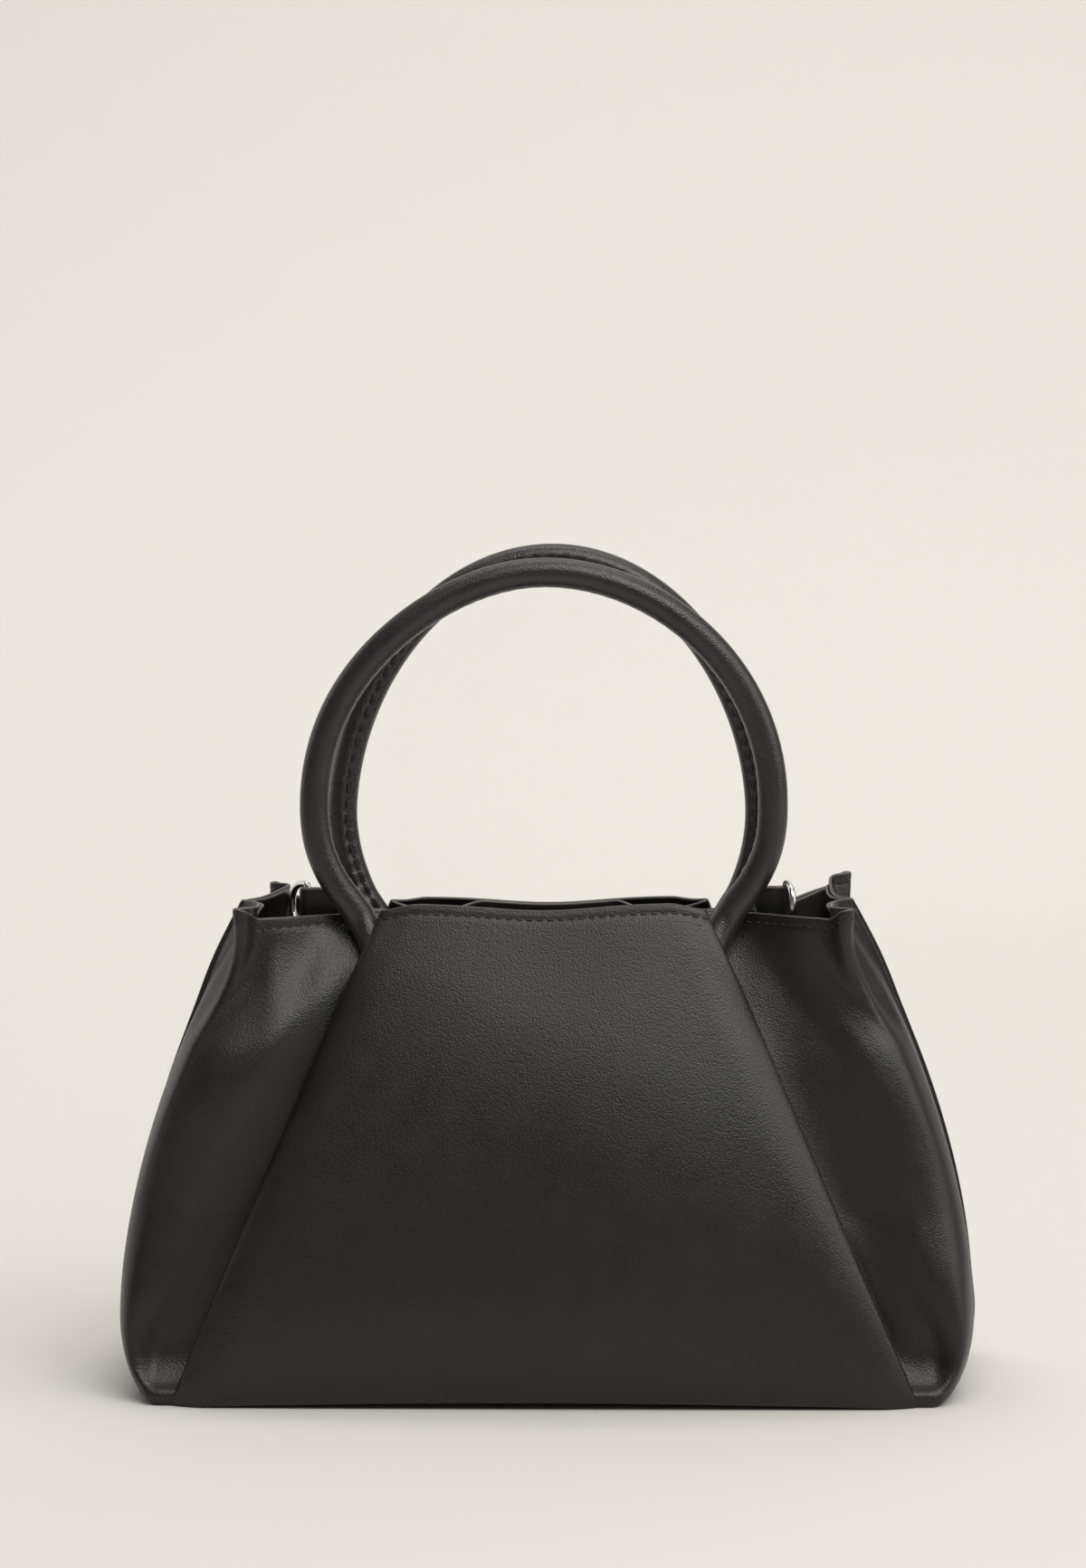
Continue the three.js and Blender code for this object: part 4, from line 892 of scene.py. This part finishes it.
def dressPocket():
    wall, strip = pocketWall(), bindingStrip()
    for side, turned in (("front", lambda p: p), ("back", halfTurned)):
        piece = sheetPiece(side + "_pocket_wall", turned(wall), pocket["wall"], liningCloth, rawEnds=0.0)
        piece.data.materials.append(panelLeather)
        centres = np.empty(3 * len(piece.data.polygons), dtype=np.float32)
        piece.data.polygons.foreach_get("center", centres)
        banded = centres[2::3] > pocket["band"] * toMetres
        piece.data.polygons.foreach_set("material_index", banded.astype(np.int32))
        fit(piece, "bag", "pocket_" + side + "_wall")
    for side, turned in (("right", lambda p: p), ("left", halfTurned)):
        binding = sheetPiece(side + "_binding", turned(strip), pocket["binding"], panelLeather)
        fit(binding, "bag", "pocket_" + side + "_edge")


dressPocket()
print("pocket made")


# Strap tabs and D-rings
tab = {
    "from": 62.0, "bar": 79.5, "bottom": 153.5, "height": 11.0, "neck": 9.0, "neckShare": 0.45, "wrap": 2.1,
    "lie": 0.8, "play": 0.4, "trim": 0.3,
}
ring = {
    "wire": 1.1, "bow": 9.0, "squareness": 0.75, "rightSwing": 75.0, "leftSwing": 50.0, "soften": 1.1,
    "points": 160, "sides": 20,
}


def tabSheet():
    # folded strip: out along the front, round the ring's bar and back
    lie, loop = tab["lie"], ring["wire"] + tab["play"] + leather / 2
    near = [[tab["from"], -lie], [tab["bar"] - tab["neck"], -lie]]
    near.append([tab["bar"] - tab["neck"] / 2, -mix(lie, loop, tab["neckShare"])])
    angle = np.linspace(-tab["wrap"], tab["wrap"], 13)
    bend = np.stack([tab["bar"] + loop * np.cos(angle), loop * np.sin(angle)], axis=1)
    control = np.concatenate([near, bend, np.array(near[::-1]) * np.array([1.0, -1.0])])
    plan = splineThrough(control[None], [12, 6, 5, *[3] * 12, 5, 6, 12])[0]
    top = tab["bottom"] + tab["height"]
    z = np.linspace(tab["bottom"] + tab["trim"], top - tab["trim"], 14)[:, None]
    return gridOf(plan[None, :, 0], plan[None, :, 1], z)


def ringWire(side):
    # bar and half-oval bow as one closed line, its corners softened by a running mean, carried by a
    # round wire
    halfBar = tab["height"] / 2 + tab["play"] + ring["wire"]
    angle = np.linspace(-np.pi / 2, np.pi / 2, 120)
    bowX = ring["bow"] * np.maximum(np.cos(angle), 0.0) ** ring["squareness"]
    bowZ = halfBar * np.sign(angle) * np.abs(np.sin(angle)) ** ring["squareness"]
    line = np.stack([np.append(bowX, [0.0, 0.0]), np.append(bowZ, [0.0, -halfBar])], axis=1)
    travel = travelAlong(line)
    at = np.linspace(0.0, travel[-1], ring["points"], endpoint=False)
    even = np.stack([np.interp(at, travel, line[:, k]) for k in range(2)], axis=1)
    reach = np.minimum(at, travel[-1] - at)
    weight = hump(reach, 0.0, ring["soften"])
    softer = np.fft.ifft(np.fft.fft(even, axis=0) * np.fft.fft(weight / weight.sum())[:, None], axis=0).real
    turn = -math.radians(ring["rightSwing"]) if side > 0 else np.pi - math.radians(ring["leftSwing"])
    flat, upright = np.array([math.cos(turn), math.sin(turn), 0.0]), np.array([0.0, 0.0, 1.0])
    path = softer[:, :1] * flat + softer[:, 1:] * upright
    path = path + np.array([side * tab["bar"], 0.0, tab["bottom"] + tab["height"] / 2])
    way = unit(np.roll(path, -1, axis=0) - np.roll(path, 1, axis=0))
    aside = np.cross(flat, upright)
    outward = np.cross(way, aside)
    around = np.linspace(0.0, 2 * np.pi, ring["sides"], endpoint=False)[None, :, None]
    return path[:, None] + ring["wire"] * (np.cos(around) * outward[:, None] + np.sin(around) * aside)


def dressTabs():
    sheet = tabSheet()
    for side, sign, turned in (("right", 1, lambda p: p), ("left", -1, halfTurned)):
        strap = sheetPiece(side + "_strap_tab", turned(sheet), leather, panelLeather)
        fit(strap, "bag", side + "_tab")
        wire = ringWire(sign)
        faces = gridFaces(*wire.shape[:2], wrapRows=True, wrapColumns=True)
        loop = addPiece(side + "_wire_ring", wire, faces, ringMetal)
        fit(loop, side + "_strap_ring", side + "_ring")


dressTabs()
print("tabs and rings made")


# Zip and board keep their solids, with their own finishes
chain = {
    "threads": 3400.0, "dark": (0.004, 0.004, 0.004), "pale": (0.016, 0.016, 0.016), "teethFrom": 150.6,
    "teeth": (0.72, 0.71, 0.69), "teethRough": 0.3, "metal": (0.74, 0.73, 0.71), "metalRough": 0.2,
    "weld": 0.00002, "bevel": 0.00022,
}


def zipMaterial():
    # woven tape below the chain, bright teeth above it
    material = weaveMaterial("zipTape", chain["dark"], chain["pale"], chain["threads"])
    tree = material.node_tree
    shader = tree.nodes["Principled BSDF"]
    split = placedNode(tree, "ShaderNodeSeparateXYZ")
    tooth = combine(tree, "GREATER_THAN", split.outputs["Z"], chain["teethFrom"] * toMetres)
    tape = shader.inputs["Base Color"].links[0].from_socket
    colour = mixColours(tree, tooth, tape, chain["teeth"])
    rough = numberBetween(tree, tooth, weave["rough"], chain["teethRough"])
    feed(tree, shader, **{"Base Color": colour, "Roughness": rough, "Metallic": tooth})
    return material


def dressZip():
    tape, bright = zipMaterial(), metalMaterial("zipMetal", chain["metal"], chain["metalRough"])
    finishes = {"zip_front_tape": tape, "zip_back_tape": tape, "base_board": greyBoard}
    for name in ("zip_closed_stop", "zip_open_stop", "zip_slider", "zip_pull"):
        finishes[name] = bright
    for name, material in finishes.items():
        node = nodes[name]
        node.data.materials.clear()
        node.data.materials.append(material)
        if material is bright:
            weld = node.modifiers.new("weld", "WELD")
            weld.merge_threshold = chain["weld"]
            bevel = node.modifiers.new("bevel", "BEVEL")
            bevel.width, bevel.segments, bevel.limit_method = chain["bevel"], 2, "ANGLE"


dressZip()
print("zip dressed")


# Stage: a pale sweep and soft studio light
studio = {
    # floor colour is darker than the sweep colour: painted shade on the paper
    "floor": (0.655, 0.641, 0.624), "sweep": (0.778, 0.761, 0.737), "backdrop": (0.82, 0.80, 0.75),
    "sweepRadius": 0.7, "sweepBack": 1.0, "sweepHeight": 3.4, "sweepFront": -3.0, "sweepSide": 4.0,
    "fade": (0.8, 2.0), "tone": (-0.2, 1.4), "air": (1.0, 0.985, 0.96), "world": 0.15,
}
lamps = {  # place, aim, size, power, colour
    "keyLamp": ((0.9, -1.4, 1.65), (0.0, 0.0, 0.12), (1.5, 0.5), 15.0, (0.94, 0.96, 1.0)),
    "overLamp": ((0.35, -1.2, 2.05), (0.0, 0.0, 0.12), (1.6, 0.8), 21.0, (1.0, 0.95, 0.87)),
    "topLamp": ((0.0, 0.1, 2.2), (0.0, 0.0, 0.1), (2.4, 1.6), 10.0, (1.0, 0.97, 0.92)),
    "backLamp": ((0.0, 0.7, 2.6), (0.0, 1.7, 0.9), (2.6, 0.6), 22.0, (1.0, 0.99, 0.97)),
    "rightLamp": ((1.5, -0.35, 0.9), (0.0, 0.0, 0.1), (1.2, 1.4), 11.0, (1.0, 0.97, 0.90)),
    "leftLamp": ((-0.85, -1.15, 1.6), (0.0, 0.0, 0.12), (0.7, 0.7), 0.7, (1.0, 0.99, 0.97)),
    "leftWall": ((-1.5, 0.7, 0.7), (0.0, 0.0, 0.1), (1.2, 1.2), 4.0, (1.0, 0.99, 0.95)),
}


def sweepCover(tree, split):
    # the paper thins out to the sides and the front, and is clear from behind
    cover = combine(tree, "SUBTRACT", 1.0, addNode(tree, "ShaderNodeNewGeometry").outputs["Backfacing"])
    for axis, operation in (("X", "ABSOLUTE"), ("Y", "MULTIPLY")):
        away = combine(tree, operation, split.outputs[axis], -1.0)
        fade = numberBetween(tree, away, 1.0, 0.0, *studio["fade"], "SMOOTHSTEP")
        cover = combine(tree, "MULTIPLY", cover, fade)
    return cover


def makeStage():
    turn = np.linspace(0.0, np.pi / 2, 24)
    radius, back, height = studio["sweepRadius"], studio["sweepBack"], studio["sweepHeight"]
    bend = np.stack([back + radius * np.sin(turn), radius * (1.0 - np.cos(turn))], axis=1)
    line = np.concatenate([[[studio["sweepFront"], 0.0]], bend, [[back + radius, height]]])
    x = np.linspace(-studio["sweepSide"], studio["sweepSide"], 9)
    points = gridOf(x[None, :], line[:, :1], line[:, 1:]) / toMetres
    material, tree, shader = startMaterial("paleSweepShadedFront")
    split = placedNode(tree, "ShaderNodeSeparateXYZ")
    # painted shade: the floor is coloured darker towards the front than the sweep behind, standing in for
    # less light falling there
    depth = numberBetween(tree, split.outputs["Y"], 0.0, 1.0, *studio["tone"], "SMOOTHSTEP")
    tone = rampBetween(tree, depth, 0.0, 1.0, studio["floor"], studio["sweep"])
    cover = sweepCover(tree, split)
    feed(tree, shader, **{"Base Color": tone, "Alpha": cover, "Roughness": 0.9, "Specular IOR Level": 0.1})
    floor = addPiece("sweep", points, gridFaces(*points.shape[:2]), material)


def makeLight():
    for name, (place, aim, size, power, colour) in lamps.items():
        data = bpy.data.lights.new(name, "AREA")
        data.shape = "RECTANGLE"
        data.size, data.size_y = size
        data.energy = power
        data.color = colour
        lamp = addObject(name, data)
        lamp.location = place
        lamp.rotation_mode = "QUATERNION"
        lamp.rotation_quaternion = (Vector(aim) - Vector(place)).to_track_quat("-Z", "Y")
        lamp.visible_camera = False
    world = bpy.data.worlds.new("studioAir")
    world.use_nodes = True
    tree = world.node_tree
    air = feed(tree, tree.nodes["Background"], Color=(*studio["air"], 1.0), Strength=studio["world"])
    seen = addNode(tree, "ShaderNodeBackground", Color=(*studio["backdrop"], 1.0), Strength=1.0)
    fromCamera = addNode(tree, "ShaderNodeLightPath").outputs["Is Camera Ray"]
    either = addNode(tree, "ShaderNodeMixShader", Fac=fromCamera)
    tree.links.new(air.outputs["Background"], either.inputs[1])
    tree.links.new(seen.outputs["Background"], either.inputs[2])
    tree.links.new(either.outputs["Shader"], tree.nodes["World Output"].inputs["Surface"])
    scene.world = world
    scene.view_settings.view_transform = "Standard"


makeStage()
makeLight()
print("stage and light set")
